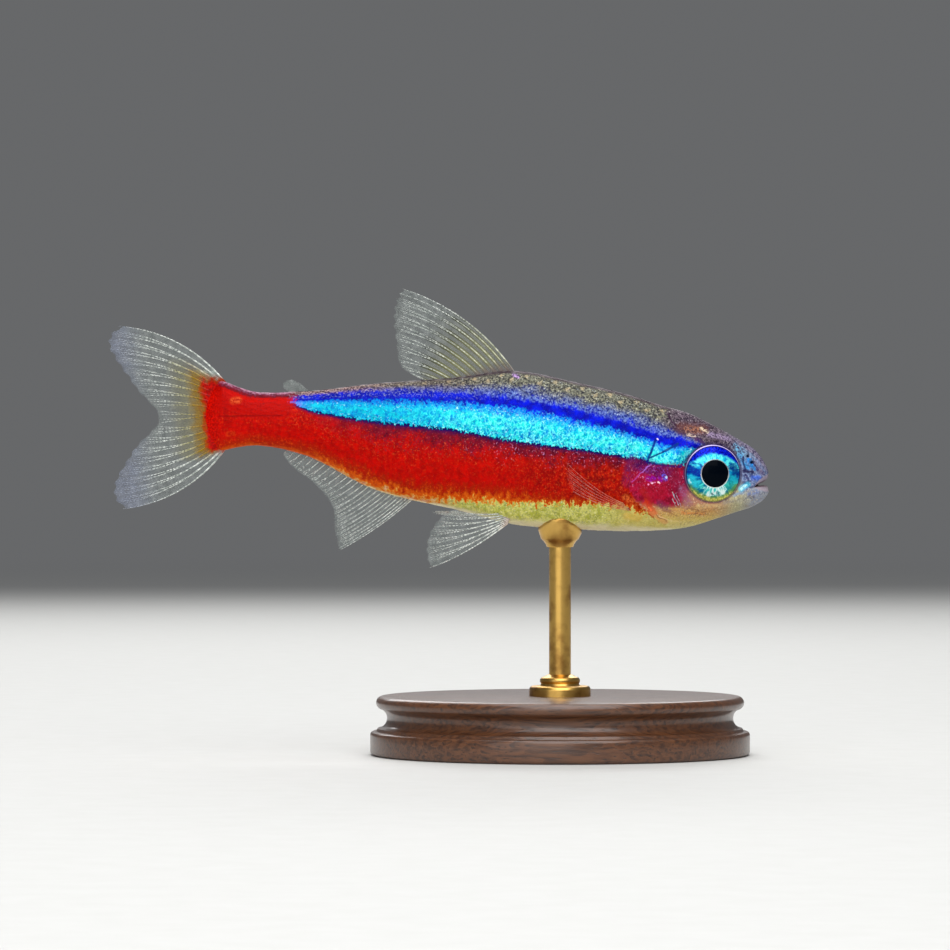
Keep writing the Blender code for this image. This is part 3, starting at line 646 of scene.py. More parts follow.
CHEEK_STROKES = [
    (5.5, 19.75, 7.1, 19.4, 0.5, 0.85, 0.4, 64, 10, 80),  # purple under the stripe
    (7.5, 19.5, 8.1, 18.3, 0.5, 0.6, 0.5, 104, 24, 54),  # dark crimson by the eye
    (5.9, 18.1, 6.7, 17.9, 0.6, 0.5, 0.2, 170, 14, 34),  # clear crimson
    (5.6, 18.1, 6.1, 17.2, 0.24, 0.5, 0.2, 168, 32, 20),
    (5.8, 17.2, 6.35, 16.6, 0.24, 0.75, 0.2, 212, 56, 18),  # orange-red below it
    (6.3, 16.55, 7.1, 15.95, 0.2, 0.45, 0.0, 236, 150, 90),  # its point on the throat
    # painted highlight on the orange-red
    (6.0, 16.95, 6.2, 16.75, 0.06, 0.9, 0.6, 255, 124, 76),
    (6.75, 17.15, 7.35, 16.8, 0.26, 0.7, 0.5, 106, 46, 84),  # purple shade
    (8.3, 18.1, 8.7, 17.2, 0.32, 0.6, 0.6, 146, 84, 120),  # mauve under the eye
    (5.95, 18.88, 6.9, 18.85, 0.19, 0.8, 0.9, 124, 12, 160),  # violet field
    (7.02, 19.08, 7.2, 18.88, 0.12, 0.85, 0.9, 84, 96, 236),  # blue spot
    # painted glint on the blue spot
    (7.2, 19.0, 7.24, 18.98, 0.05, 0.9, 0.0, 196, 220, 255),
    (5.99, 18.48, 6.01, 18.48, 0.06, 0.95, 0.0, 255, 150, 214),  # row of pearls
    (6.24, 18.58, 6.28, 18.59, 0.065, 0.95, 0.0, 255, 200, 230),
    (6.46, 18.6, 6.48, 18.6, 0.04, 0.8, 0.0, 250, 150, 216),
    (6.69, 18.59, 6.73, 18.58, 0.065, 0.95, 0.0, 255, 210, 220),
    (6.13, 19.88, 5.35, 19.17, 0.045, 0.9, 0.5, 184, 112, 214),  # edge of the gill cover
    (5.35, 19.17, 4.85, 18.62, 0.055, 0.8, 0.5, 176, 70, 160),
    (7.55, 17.98, 7.8, 17.5, 0.026, 0.8, 0.8, 170, 190, 200),  # silver strokes
    (7.7, 17.76, 8.02, 17.1, 0.028, 0.9, 0.7, 206, 220, 222),
    (7.8, 17.9, 8.1, 17.36, 0.024, 0.75, 0.8, 160, 176, 196),
    (7.64, 17.5, 7.86, 17.05, 0.024, 0.7, 0.8, 176, 190, 200),
    (8.0, 17.5, 8.18, 17.0, 0.024, 0.75, 0.8, 160, 176, 196),
    (7.7, 17.8, 8.0, 17.2, 0.035, 0.8, 0.5, 64, 66, 104),
    # folds of the throat: the pale lines are a painted highlight on each fold, the brown lines under them
    # painted shade
    (6.6, 16.42, 7.2, 16.08, 0.035, 0.8, 0.3, 240, 214, 160),  # folds of the throat
    (7.2, 16.08, 8.2, 15.9, 0.035, 0.7, 0.3, 236, 214, 150),
    (6.6, 16.34, 7.2, 15.99, 0.035, 0.6, 0.3, 132, 76, 44),
    (6.9, 16.75, 8.0, 16.35, 0.035, 0.6, 0.3, 150, 96, 60),
    (7.4, 16.9, 8.8, 16.7, 0.07, 0.6, 0.6, 230, 184, 96),
    (8.3, 16.55, 9.8, 16.5, 0.1, 0.65, 0.6, 226, 136, 66),
    (8.6, 16.85, 9.4, 16.75, 0.035, 0.6, 0.3, 130, 84, 60),
    (9.4, 17.0, 10.8, 17.05, 0.16, 0.6, 0.5, 206, 176, 118),  # tan under the eye
    (10.4, 16.75, 11.4, 17.0, 0.1, 0.6, 0.8, 150, 126, 84),
    (11.2, 17.25, 12.2, 17.45, 0.12, 0.6, 0.6, 140, 136, 128),
]
THREAD_STROKES = [
    (5.6, 19.5, 7.2, 19.4, 0.4, 0.6, 1.0, 150, 66, 176),  # violet threads
    (8.2, 18.2, 8.6, 17.3, 0.34, 0.55, 1.0, 172, 120, 160),
    (12.2, 20.8, 13.0, 19.5, 0.4, 0.75, 1.0, 30, 34, 92),  # dark threads of the snout
    (12.8, 20.4, 13.9, 19.2, 0.4, 0.5, 1.0, 206, 206, 236),
    (12.6, 17.6, 13.9, 17.9, 0.34, 0.45, 1.0, 70, 74, 108),  # and of the lower lip
    (6.6, 16.4, 10.0, 16.6, 0.4, 0.5, 1.0, 140, 88, 54),  # folds of the throat
]
SNOUT_STROKES = [
    (11.95, 21.1, 12.5, 20.4, 0.26, 0.75, 1.0, 108, 190, 232),  # pale blue by the eye
    (12.45, 20.9, 13.2, 20.3, 0.2, 0.55, 0.7, 120, 170, 206),
    (12.25, 20.4, 12.7, 19.75, 0.2, 0.8, 0.6, 84, 166, 226),
    (12.85, 20.15, 13.3, 19.6, 0.17, 0.95, 0.4, 20, 148, 236),  # bright blue
    (12.6, 19.9, 12.9, 19.6, 0.12, 0.8, 0.5, 60, 160, 230),
    (13.4, 20.2, 13.9, 19.5, 0.16, 0.5, 0.6, 140, 160, 206),
    (12.5, 20.3, 12.6, 19.5, 0.08, 0.95, 0.2, 24, 30, 84),  # dark strokes
    (12.55, 19.42, 13.1, 19.35, 0.11, 0.95, 0.2, 30, 24, 70),
    (12.7, 19.15, 12.85, 18.75, 0.08, 0.9, 0.2, 40, 34, 90),
    (13.25, 19.95, 13.5, 19.45, 0.07, 0.9, 0.2, 30, 30, 90),
    (13.5, 19.6, 13.8, 19.2, 0.14, 0.6, 0.6, 116, 80, 112),
    (13.15, 18.95, 13.55, 18.95, 0.17, 0.9, 0.4, 74, 116, 232),  # blue by the lip
    (12.3, 18.15, 12.8, 18.5, 0.2, 0.9, 0.5, 70, 208, 240),  # turquoise by the jaw
    (12.35, 18.2, 12.7, 18.45, 0.1, 0.9, 0.6, 206, 255, 255),
    (11.9, 17.8, 12.4, 17.95, 0.14, 0.6, 0.6, 120, 160, 214),
    (12.9, 17.8, 13.5, 18.0, 0.16, 0.55, 0.7, 104, 128, 196),  # lower lip
    (13.0, 17.55, 13.2, 17.6, 0.08, 0.7, 0.5, 66, 66, 96),
    (13.6, 18.2, 14.05, 18.05, 0.1, 0.6, 0.5, 206, 204, 226),
    (12.2, 17.3, 12.9, 17.35, 0.14, 0.5, 0.7, 196, 190, 168),
]
CROWN_STROKES = [
    (8.2, 22.35, 9.8, 22.25, 0.38, 0.8, 0.5, 104, 58, 50),  # copper patch
    (8.6, 22.25, 9.6, 22.2, 0.24, 0.45, 1.0, 196, 134, 98),  # its gold specks
    # painted highlight at the front end of the copper patch
    (9.6, 22.3, 10.0, 22.1, 0.13, 0.75, 1.0, 248, 228, 196),
    (8.7, 21.9, 9.2, 21.75, 0.1, 0.8, 1.0, 226, 200, 180),
    (10.2, 21.9, 11.4, 21.6, 0.2, 0.6, 0.8, 172, 150, 190),
    (9.2, 21.6, 9.7, 21.35, 0.14, 0.8, 0.4, 66, 24, 84),
    (7.35, 23.3, 7.9, 22.4, 0.06, 0.8, 0.2, 52, 24, 54),  # front edge of the nape
    (7.6, 22.35, 8.4, 22.0, 0.14, 0.6, 0.5, 60, 36, 60),
]
STRIPE_STROKES = [
    (6.5, 21.6, 6.15, 20.65, 0.085, 0.95, 0.1, 4, 22, 128),  # cuts across the stripe
    (6.15, 20.65, 5.88, 20.05, 0.085, 0.95, 0.1, 6, 30, 120),
    (8.0, 21.25, 7.0, 20.7, 0.085, 0.95, 0.1, 2, 46, 120),
    (7.0, 20.7, 6.08, 20.3, 0.07, 0.95, 0.1, 2, 50, 120),
    (5.85, 19.97, 7.0, 19.8, 0.08, 0.85, 0.6, 22, 12, 104),  # dark lower edge
    (7.0, 19.8, 8.1, 19.7, 0.09, 0.9, 0.6, 14, 16, 104),
    (8.15, 19.7, 8.75, 20.45, 0.09, 0.8, 0.3, 14, 30, 120),
    (6.6, 21.6, 6.63, 21.55, 0.05, 0.9, 0.0, 214, 196, 255),
]


def stroke(flat, start, end, width, grain=0.5):
    """1 on a straight stroke and 0 beside it, by the distance to its nearest point.

    Grain above one half narrows the stroke and grain below it widens it.
    """
    begin, along = (start[0], 0.0, start[1]), (end[0] - start[0], 0.0, end[1] - start[1])
    offset = flat.vector("SUBTRACT", begin)
    share = offset.vector("DOT_PRODUCT", along, "Value") * (1 / (along[0] ** 2 + along[2] ** 2))
    share = share.clamp()
    nearest = share.node("VectorMath", {"operation": "SCALE"}, {0: along, 3: share})
    away = offset.vector("DISTANCE", nearest, "Value") + 1.2 * width * (grain - 0.5)
    return away.step(1.45 * width, 0.45 * width)


def brush(colour, flat, grain, strokes):
    """Lay strokes over a colour. The grain eats into a stroke by its brokenness."""
    for start_x, start_z, end_x, end_z, width, strength, broken, *tone in strokes:
        mask = stroke(flat, (start_x, start_z), (end_x, end_z), width, grain) * strength
        if broken:
            mask = mask * ((1 - broken) + broken * grain.step(0.4, 0.58))
        colour = mask.mix(colour, tone)
    return colour


# %% [markdown]
# Under the strokes lie the head's broad fields: cream on the throat, crimson on the
# cheek, mauve on the snout and dusky scales on the crown. Each is masked by simple sums
# of x and z. The number "ahead" is the distance in front of the gill cover's edge. Fine
# wrinkles run over all of them, as thin lines where a noise crosses its middle.

# %% Paint of the head
def head_paint(w, colour):
    """The head's own fields and strokes over the bands that reach it."""
    place = millimetres(w)
    x = place.split()
    z = x.also(2)
    ahead = w.value("ahead")
    grain, bright, dark, spark, pit = grains(place)
    cloud = place.noise(2.4, 3.0)
    wrinkle = place.noise((4.4, 4.4, 3.0)) - 0.5
    wrinkle = wrinkle.math("ABSOLUTE", wrinkle).step(0.04, 0.012)
    flat = place.vector("MULTIPLY", SIDE_VIEW)
    rough = flat.vector("ADD", place.drift(2.2, 3.0, 0.35))

    # throat and cheek
    cover = (ahead + 0.8 * (grain - 0.5) + 0.3 * (cloud - 0.5)).step(0.0, 0.25)
    under_stripe = (z + 0.8 * (grain - 0.5)).step(19.9, 19.76)
    height = z + 0.5 * (cloud - 0.5)
    ground = height.ramp(15.4, 17.3, [
        (0.0, (232, 226, 152)), (0.35, (218, 194, 108)), (0.66, (206, 158, 96)),
        (1.0, (176, 122, 100))]).coats(
        (x.step(10.2, 12.2), x.step(12.0, 13.4).mix((176, 172, 136), (148, 154, 168))),
        (dark * 0.35, (142, 112, 76)),
        (spark * 0.5, (246, 236, 190)))
    cheek = cloud.step(0.35, 0.65).mix((128, 8, 36), (172, 16, 52)).coats(
        (dark * 0.5, (84, 4, 44)),
        (bright * 0.35, (196, 50, 96)),
        (spark * z.step(17.4, 19.2) * 0.75, (224, 140, 196)))
    inside = (height + 0.1 * (x - 7.0) + 0.4 * (grain - 0.5)).step(16.75, 17.25)
    inside = inside * (x - 0.5 * (z - 18.5)).step(9.4, 8.6)
    colour = (cover * under_stripe).mix(colour, inside.mix(ground, cheek))
    colour = brush(colour, rough, grain, CHEEK_STROKES)

    # snout and crown
    muzzle = cloud.step(0.35, 0.65).mix((72, 86, 128), (122, 140, 182)).coats(
        (bright * 0.5, (168, 186, 220)),
        (dark * 0.5, (44, 48, 92)),
        (spark * 0.5, (214, 214, 240)))
    snout = (x + 0.2 * (z - 19.0) + 0.6 * (grain - 0.5)).step(11.9, 12.5)
    snout = snout * (z - 0.45 * (x - 13.2)).step(18.1, 18.45)
    colour = snout.mix(colour, muzzle)
    crown_height = (z + 0.42 * (x - 9.4) + 0.8 * (grain - 0.5)).step(21.15, 21.65) * x.step(6.0, 8.0)
    crown = grain.step(0.35, 0.65).mix((36, 26, 40), (104, 88, 100)).coats(
        (pit * 0.6, (26, 16, 30)),
        (spark * 0.6, (206, 190, 198)),
        (x.step(10.5, 13.0) * 0.8, grain.step(0.35, 0.65).mix((70, 62, 92), (150, 144, 168))))
    colour = crown_height.mix(colour, crown)
    colour = brush(colour, rough, grain, CROWN_STROKES + SNOUT_STROKES)
    colour = brush(colour, flat, wrinkle, THREAD_STROKES).coats(
        (wrinkle * x.step(7.6, 8.6) * 0.3, (54, 42, 70)))
    colour = brush(colour, flat, grain, STRIPE_STROKES)
    # painted shade: a dark spot in each nostril's pit
    for nostril_x, nostril_z, radius in NOSTRILS:
        spot = stroke(flat, (nostril_x, nostril_z), (nostril_x + 0.02, nostril_z), 0.8 * radius)
        colour = spot.mix(colour, (14, 18, 46))

    # a dark line round the eye, painted shade where the eye sits in its socket; pale lips; a dark mouth,
    # painted shade inside the lips
    eye_away = flat.vector("SUBTRACT", (EYE_X, 0.0, EYE_Z))
    eye_away = eye_away.vector("MULTIPLY", (1 / math.cos(EYE_TURN), 0.0, 1.0))
    eye_away = eye_away.vector("LENGTH", output="Value")
    colour = (eye_away.step(2.14, 2.04) * 0.6).mix(colour, (46, 34, 74))
    lip = ahead - (LIP_MARK - GILL_MARK)
    colour = colour.coats(
        (lip.step(-0.14, -0.02) * 0.7, (164, 146, 158)),
        (lip.step(0.1, 0.4), (74, 50, 60)))
    return colour


# %% [markdown]
# Skin of a fish is wet and smooth with a fine grain. The materials below give it a clear
# coat for the wet look, and let the paint's cells raise tiny bumps so that the coat
# breaks the light up as the photo's glitter does. The skin carries the head's markings,
# and the scales add a soft darker rim: painted shade along each free edge, which on the
# back also draws the dark net of the scales.

# %% Finishes of skin and scales
WET = {"Specular IOR Level": 0.03, "Coat Weight": 0.03, "Coat Roughness": 0.14}


def skin_sockets(w):
    """Bands, head markings, and a thin wet coat."""
    colour, metal, height = band_paint(w)
    return {"Base Color": head_paint(w, colour), "Metallic": metal, "Roughness": 0.45, **WET,
            "Normal": height.bump(0.4, 0.02)}


def scale_sockets(w):
    """The same bands, a little darker along each scale's free edge: painted shade there, which on the back
    also draws the dark net of the scales.
    """
    colour, metal, height = band_paint(w)
    # painted shade: darker along each scale's free edge, most on the back
    shade = w.value("rim").step(0.80, 0.98) * (0.08 + 0.36 * w.value("layer").step(3.95, 4.3))
    return {"Base Color": shade.mix(colour, (24, 20, 30)), "Metallic": metal, "Roughness": 0.42,
            **WET, "Normal": height.bump(0.4, 0.02)}


SKIN_FINISH = principled("painted_skin", skin_sockets)
SCALE_FINISH = principled("painted_scales", scale_sockets)
print("skin finish has", len(SKIN_FINISH.node_tree.nodes), "nodes")

# %% [markdown]
# The skin itself is one grid from the wedge of the tail base to the inside of the lips,
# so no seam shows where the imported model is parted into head, trunk, tail and stalk.
# Rows stand close together at the gill cover's edge, where the surface steps.

# %% Make the skin
SKIN_COLUMNS = 224
skin_marks = np.concatenate((
    -TAIL_WEDGE * np.sin(np.linspace(math.pi / 2, 0, 14)),
    np.linspace(0, GILL_MARK - 0.03, 236)[1:],
    GILL_MARK + np.array([0.0, 0.03, 0.07]),
    np.linspace(GILL_MARK + 0.12, LIP_MARK, 118),
    np.linspace(LIP_MARK, MOUTH_MARK, 9)[1:]))
shares = np.arange(SKIN_COLUMNS) / SKIN_COLUMNS
skin_grid = skin(skin_marks[:, None], angle_at(skin_marks[:, None], shares[None, :]))


def end_caps(rows, columns, first_pole):
    """Triangles from a pole in the middle of each end ring to its sides."""
    here = np.arange(columns)
    following = np.roll(here, -1)
    last = (rows - 1) * columns
    low = np.stack((np.full(columns, first_pole), following, here), axis=1)
    high = np.stack((np.full(columns, first_pole + 1), last + here, last + following), axis=1)
    return np.concatenate((low, high))


poles = skin_grid[[0, -1]].mean(axis=1)
skin_points = np.concatenate((skin_grid.reshape(-1, 3), poles))
skin_ahead = np.repeat(skin_marks - GILL_MARK, SKIN_COLUMNS)
skin_ahead = np.concatenate((skin_ahead, skin_ahead[[0, -1]]))
add_piece("skin", ["head", "trunk", "tail", "tail_stalk"], skin_points,
          [squares(len(skin_marks), SKIN_COLUMNS, wrap=True),
           end_caps(len(skin_marks), SKIN_COLUMNS, len(skin_points) - 2)],
          SKIN_FINISH, {**layer_values(skin_points), "ahead": skin_ahead})

# %% [markdown]
# A cardinal tetra has about 33 scales in a row from gill cover to tail, in slanting rows
# like roof tiles. Each is a thin plate: its root lies under the one in front, and its
# rounded free edge stands a few hundredths of a millimetre proud. Bump alone could fake
# the edges, but real plates catch the light at any angle. One small grid is the pattern
# for all of them, and whole arrays place every copy on the skin at once.

# %% Make the scales
SCALE_COLUMNS, SCALE_ROWS = 36, 26
SCALE_OVERLAP = 1.75       # a scale's length against the distance to the next
SCALE_WIDTH = 1.16         # its width against the height of its row
SCALE_ARC = 0.52           # how far the corners of the free edge draw in
SCALE_SUNK, SCALE_PROUD = -0.05, 0.022
SCALE_THICKNESS = 0.018
PATCH = 0.003              # a scale's share of the bake map
PLATE_ROWS, PLATE_COLUMNS = 6, 5


def skin_normal(mark, angle):
    """The outward normal: cross product of the two small steps on the skin."""
    step = 0.02
    along = skin(mark + step, angle) - skin(mark - step, angle)
    around = skin(mark, angle + step) - skin(mark, angle - step)
    normal = np.cross(around, along)
    return normal / np.linalg.norm(normal, axis=-1, keepdims=True)


def scale_coat():
    """Thin plates, one small grid each: back along the body by t, across by s, with rounded corners.

    The place back is root - length t (1 - arc (2 s)^2), and the height over the skin
    climbs from the sunk root to the proud free edge.
    """
    dice = np.random.default_rng(33)
    last, first = -0.15, GILL_MARK - 0.02
    pitch = (first - last) / SCALE_COLUMNS
    column, row = np.meshgrid(np.arange(SCALE_COLUMNS), np.arange(SCALE_ROWS), indexing="ij")
    column, row = column.ravel(), row.ravel()
    root = first - pitch * column + dice.normal(0, 0.03, column.size) * pitch
    middle = (row + 0.5 * (column % 2)) / SCALE_ROWS + dice.normal(0, 0.0008, column.size)
    t, s = np.meshgrid(np.linspace(0, 1, PLATE_ROWS), np.linspace(-0.5, 0.5, PLATE_COLUMNS),
                       indexing="ij")
    reach = pitch * SCALE_OVERLAP * dice.uniform(0.96, 1.04, column.size)[:, None, None]
    mark = root[:, None, None] - reach * t * (1 - SCALE_ARC * (2 * s) ** 2)
    share = middle[:, None, None] + s * SCALE_WIDTH / SCALE_ROWS
    angle = angle_at(mark, share)
    small = np.interp(mark, (0.0, 6.0), (0.6, 1.0))
    height = small * (SCALE_SUNK + (SCALE_PROUD - SCALE_SUNK) * t ** 0.8 - 0.008 * (2 * s) ** 2)
    surface, normal = skin(mark, angle), skin_normal(mark, angle)
    upper = surface + height[..., None] * normal
    lower = upper - SCALE_THICKNESS * normal
    rim = np.broadcast_to(np.maximum(t, np.abs(2 * s) * t), mark.shape)
    core = np.broadcast_to(1 - np.hypot((t - 0.74) / 0.30, 2 * s / 0.9), mark.shape)
    corner_u = (root[:, None, None] + TAIL_WEDGE) / (MOUTH_MARK + TAIL_WEDGE) + PATCH * t
    corner_v = np.mod(middle, 1)[:, None, None] * 0.99 + PATCH * (s + 0.5)
    maps = np.stack(np.broadcast_arrays(corner_u, corner_v), axis=-1)
    rim, core, maps = [np.stack((half, half), 1) for half in (rim, core, maps)]
    return np.stack((upper, lower), 1), {"rim": rim, "core": core}, maps


def plate_faces(rows, columns):
    """Upper grid, lower grid and the band that joins their edges."""
    upper = squares(rows, columns)
    lower = upper[:, ::-1] + rows * columns
    number = np.arange(rows * columns).reshape(rows, columns)
    edge = np.concatenate((number[0, :-1], number[:-1, -1], number[-1, :0:-1], number[:0:-1, 0]))
    after = np.roll(edge, -1)
    below = rows * columns
    band = np.stack((after, edge, edge + below, after + below), axis=1)
    return np.concatenate((upper, lower, band))


scale_points, scale_values, scale_maps = scale_coat()
plate = plate_faces(PLATE_ROWS, PLATE_COLUMNS)
add_piece("scales", [], scale_points,
          [repeat_faces(plate, 2 * PLATE_ROWS * PLATE_COLUMNS, len(scale_points))], SCALE_FINISH,
          {**layer_values(scale_points), **scale_values}, {"OFBake": scale_maps}, sharp=40)
print("scales:", len(scale_points))

# %% [markdown]
# The eyes are large, with a flat black pupil in a metallic iris: deep blue above, then
# turquoise, white under the pupil and olive at the bottom. A taxidermist sets in a glass
# eye painted from behind. Here the iris is painted on the dome and a clear coat over it
# gives the glass. The map called Iris holds the place on the eye in millimetres, seen
# from outside, so that both eyes are painted with the blue at the top.

# %% Paint of the iris
PUPIL_RADIUS = 0.91
IRIS_MAP_SIZE = 5.0        # millimetres across the whole map
# start u, v, end u, v, width, strength, brokenness, then red, green and blue
IRIS_STROKES = [
    (-1.6, 0.3, -1.2, 0.02, 0.3, 0.95, 0.2, 0, 30, 150),  # blue behind the pupil
    (1.25, 0.45, 1.6, 0.1, 0.32, 0.9, 0.2, 0, 34, 124),  # and in front of it
    (-1.6, -0.35, -1.25, -0.75, 0.26, 0.9, 0.4, 44, 206, 228),
    (-1.7, -0.42, -1.6, -0.62, 0.08, 0.9, 0.4, 200, 255, 255),
    (1.2, -0.35, 1.5, -0.5, 0.3, 0.8, 0.5, 24, 184, 196),
    (1.0, -0.8, 1.4, -0.85, 0.22, 0.8, 0.5, 40, 168, 150),
    (-0.15, -1.32, -0.1, -1.4, 0.09, 0.9, 0.2, 6, 92, 104),
    (0.25, -1.35, 0.35, -1.45, 0.07, 0.8, 0.3, 10, 110, 116),
]


def iris_sockets(w):
    """Bands by the height, spokes by the direction, rings by the distance from the middle."""
    place = w.node("UVMap", {"uv_map": "Iris"})
    place = place.vector("SUBTRACT", (0.5, 0.488, 0.0)).vector(
        "MULTIPLY", (IRIS_MAP_SIZE, IRIS_MAP_SIZE, 0.0))
    u = place.split()
    v = u.also(1)
    away = place.vector("LENGTH", output="Value")
    heading = place.vector("NORMALIZE").split()
    spokes = u.node("CombineXYZ", {}, {0: heading * 7.0, 1: heading.also(1) * 7.0, 2: away * 2.4})
    spokes = spokes.noise(1.0, 3.0)
    grain = place.noise(8.0)
    cloud = place.noise(3.6, 3.0)
    high = v + 0.5 * (cloud - 0.5) + 0.8 * (spokes - 0.5) + 0.4 * (grain - 0.5)
    flat = u.node("CombineXYZ", {}, {0: u, 2: v}).vector("ADD", place.drift(3.0, 2.0, 0.5))

    colour = spokes.step(0.38, 0.62).mix((0, 66, 150), (10, 156, 214))
    turquoise = cloud.step(0.34, 0.56).mix((10, 190, 226), (96, 246, 246)).coats(
        (spokes.step(0.5, 0.36) * 0.7, (0, 104, 190)))
    colour = (high + 0.1 * u).step(0.3, 0.6).mix(colour, turquoise)
    blue = grain.step(0.35, 0.65).mix((0, 4, 132), (8, 34, 222))
    colour = (v + 0.25 * u * u + 0.5 * (spokes - 0.5)).step(1.22, 1.46).mix(colour, blue)
    low = spokes.step(0.4, 0.6).mix((0, 112, 150), (70, 224, 214))
    colour = high.step(-0.3, -0.6).mix(colour, low)
    colour = brush(colour, flat, grain, IRIS_STROKES[:6])
    olive = (away - 0.42 * (v + 1.9) + 0.9 * (spokes - 0.5) + 0.3 * (grain - 0.5)) * v.step(-0.45, -0.75)
    colour = colour.coats(
        (olive.step(1.02, 1.4) * 0.85, (92, 146, 60)),
        (olive.step(1.36, 1.72), grain.step(0.4, 0.6).mix((160, 166, 66), (222, 216, 112))))
    glow = u * u + 5.0 * (v + 1.16) * (v + 1.16) - 2.0 * (spokes - 0.5)
    white = spokes.step(0.4, 0.62).mix((64, 206, 204), (232, 255, 250))
    colour = glow.step(1.0, 0.35).mix(colour, white)
    colour = brush(colour, flat, grain, IRIS_STROKES[6:])

    dark_ring = away.step(1.8, 1.88) * (0.35 + 0.65 * v.step(-1.4, -0.4))
    colour = dark_ring.mix(colour, (14, 18, 80))
    # the eye's rim: its own lilac, with a painted highlight that makes it brightest at the top; grey-blue
    # at the sides, olive below
    pale = v.step(0.2, 1.5).mix((96, 104, 146), (208, 190, 244))
    colour = colour.coats(
        (away.step(1.89, 1.92), v.step(-0.5, -1.1).mix(pale, (150, 146, 96))),
        (away.step(1.95, 1.97), (52, 40, 76)))
    ring = (away + 0.12 * (grain - 0.5)).step(1.02, 0.98) * 0.85
    colour = ring.mix(colour, v.step(0.5, -0.7).mix((150, 132, 134), (232, 240, 236)))
    pupil = away.step(0.955, 0.925)
    colour = pupil.mix(colour, (0, 4, 12))
    return {"Base Color": colour, "Metallic": 0.2 * (1 - pupil), "Roughness": 0.38,
            "Specular IOR Level": 0.02, "Coat Weight": 0.08 - 0.06 * pupil, "Coat Roughness": 0.03,
            "Normal": (grain * (1 - pupil)).bump(0.3, 0.02)}


IRIS_FINISH = principled("glass_eye", iris_sockets)

# %% [markdown]
# Each eye is turned like a button: rings run out over the dome and back under the rim,
# where the socket hides them. The left eye is the right one's mirror image. A sphere
# would also do, but a fish's eye is flatter, and its rim has to sit in the orbit.

# %% Make the eyes
EYE_DEPTH = 0.60
EYE_SIDES = 128


def eye_points(side):
    """Rings round the eye's axis, out from the middle over the dome and back under the rim.

    The dome is a cap of a sphere over the rim, h = sqrt(s^2 - r^2) - (s - dome). The
    pupil stands a little higher, and a low ring runs round the rim.
    """
    sphere = (EYE_RADIUS ** 2 + EYE_DOME ** 2) / (2 * EYE_DOME)
    radius = np.concatenate((np.linspace(0.02, 1.96, 66), np.linspace(1.965, EYE_RADIUS, 4)))
    height = np.sqrt(sphere ** 2 - radius ** 2) - (sphere - EYE_DOME)
    height = height + 0.05 * soft_step((PUPIL_RADIUS + 0.05 - radius) / 0.08)
    height = height + 0.02 * np.exp(-((radius - 1.90) / 0.05) ** 2)
    radius = np.concatenate((radius, [EYE_RADIUS, EYE_RADIUS - 0.15, 0.05]))
    height = np.concatenate((height, [-EYE_DEPTH + 0.15, -EYE_DEPTH, -EYE_DEPTH]))
    around = 2 * math.pi * np.arange(EYE_SIDES) / EYE_SIDES
    u, v = radius[:, None] * np.cos(around), radius[:, None] * np.sin(around)
    u, v = np.append(u.ravel(), (0.0, 0.0)), np.append(v.ravel(), (0.0, 0.0))
    h = np.append(np.repeat(height, EYE_SIDES), (height[0], -EYE_DEPTH))[:, None]
    out = np.array((math.sin(EYE_TURN), side * math.cos(EYE_TURN), 0.0))
    forward = np.array((math.cos(EYE_TURN), -side * math.sin(EYE_TURN), 0.0))
    middle = np.array((EYE_X, side * EYE_RIM_Y, EYE_Z))
    points = middle + u[:, None] * forward + v[:, None] * np.array((0.0, 0.0, 1.0)) + h * out
    return points, np.stack((u, v), axis=-1) / IRIS_MAP_SIZE + 0.5, len(radius)


for side, word in ((1, "left"), (-1, "right")):
    points, iris_map, rings = eye_points(side)
    add_piece(f"glass_eye_{word}", [f"eye_{word}"], points,
              [squares(rings, EYE_SIDES, wrap=True), end_caps(rings, EYE_SIDES, rings * EYE_SIDES)],
              IRIS_FINISH, maps={"Iris": iris_map}, sharp=50)

# %% [markdown]
# A fin is a fan of fine bony rays with clear skin between them. The rays split in two
# and in two again towards the edge, and they are built of short joints, which is why
# they glitter as dotted lines. Each fin is worked out as one curved surface first: a
# place on it is given by a fraction, from the first ray to the last, and by how far out
# along the ray it lies. The web is a thin closed sheet on that surface, and each ray is
# a tapering tube laid in it. Transparency maps on a flat card would be cheaper, but they
# vanish from the side and in the exported shapes.

# %% A fin's web and rays
WEB_ROWS, WEB_STEPS = 22, 6         # rows out from the root, steps from ray to ray
EDGE_DIP, CORNER_TRIM, CORNER_SHARE = 0.02, 0.03, 0.05
PLEAT_DEPTH = 0.035
TUBE_ROWS, TUBE_SIDES, TUBE_FLATNESS = 15, 6, 1.25
BRANCH_LEAN, TWIG_LEAN = 0.25, 0.12  # as shares of the gap to the next ray
SPLIT_THINNING = 0.76
TIP_FROM, TIP_THINNING = 0.88, 0.6


def unit(vectors):
    """Vectors scaled to length 1."""
    return vectors / np.linalg.norm(vectors, axis=-1, keepdims=True)


def along(points, fraction):
    """The point at a fraction of the way along a smooth curve through points."""
    rows = np.array(points, dtype=float)
    marks = distances(rows)
    return smooth(marks, rows, fraction * marks[-1])


def fan(root_at, tip_at, bow_at):
    """A fin's surface: root + t (tip - root) + 4 t (1 - t) bow."""
    def place(fraction, t):
        fraction, t = np.broadcast_arrays(fraction, t)
        root, tip = root_at(fraction), tip_at(fraction)
        return root + t[..., None] * (tip - root) + (4 * t * (1 - t))[..., None] * bow_at(fraction)
    return place


def ray_fraction(ray, rays, crowd):
    """Where a ray stands from 0 to 1. Rays crowd at the front, or at both edges of a tail."""
    share = ray / (rays - 1)
    if crowd == "front":
        return share ** 1.25
    if crowd == "edges":
        return 0.5 + 0.5 * np.sign(share - 0.5) * np.abs(2 * share - 1) ** 0.82
    return share


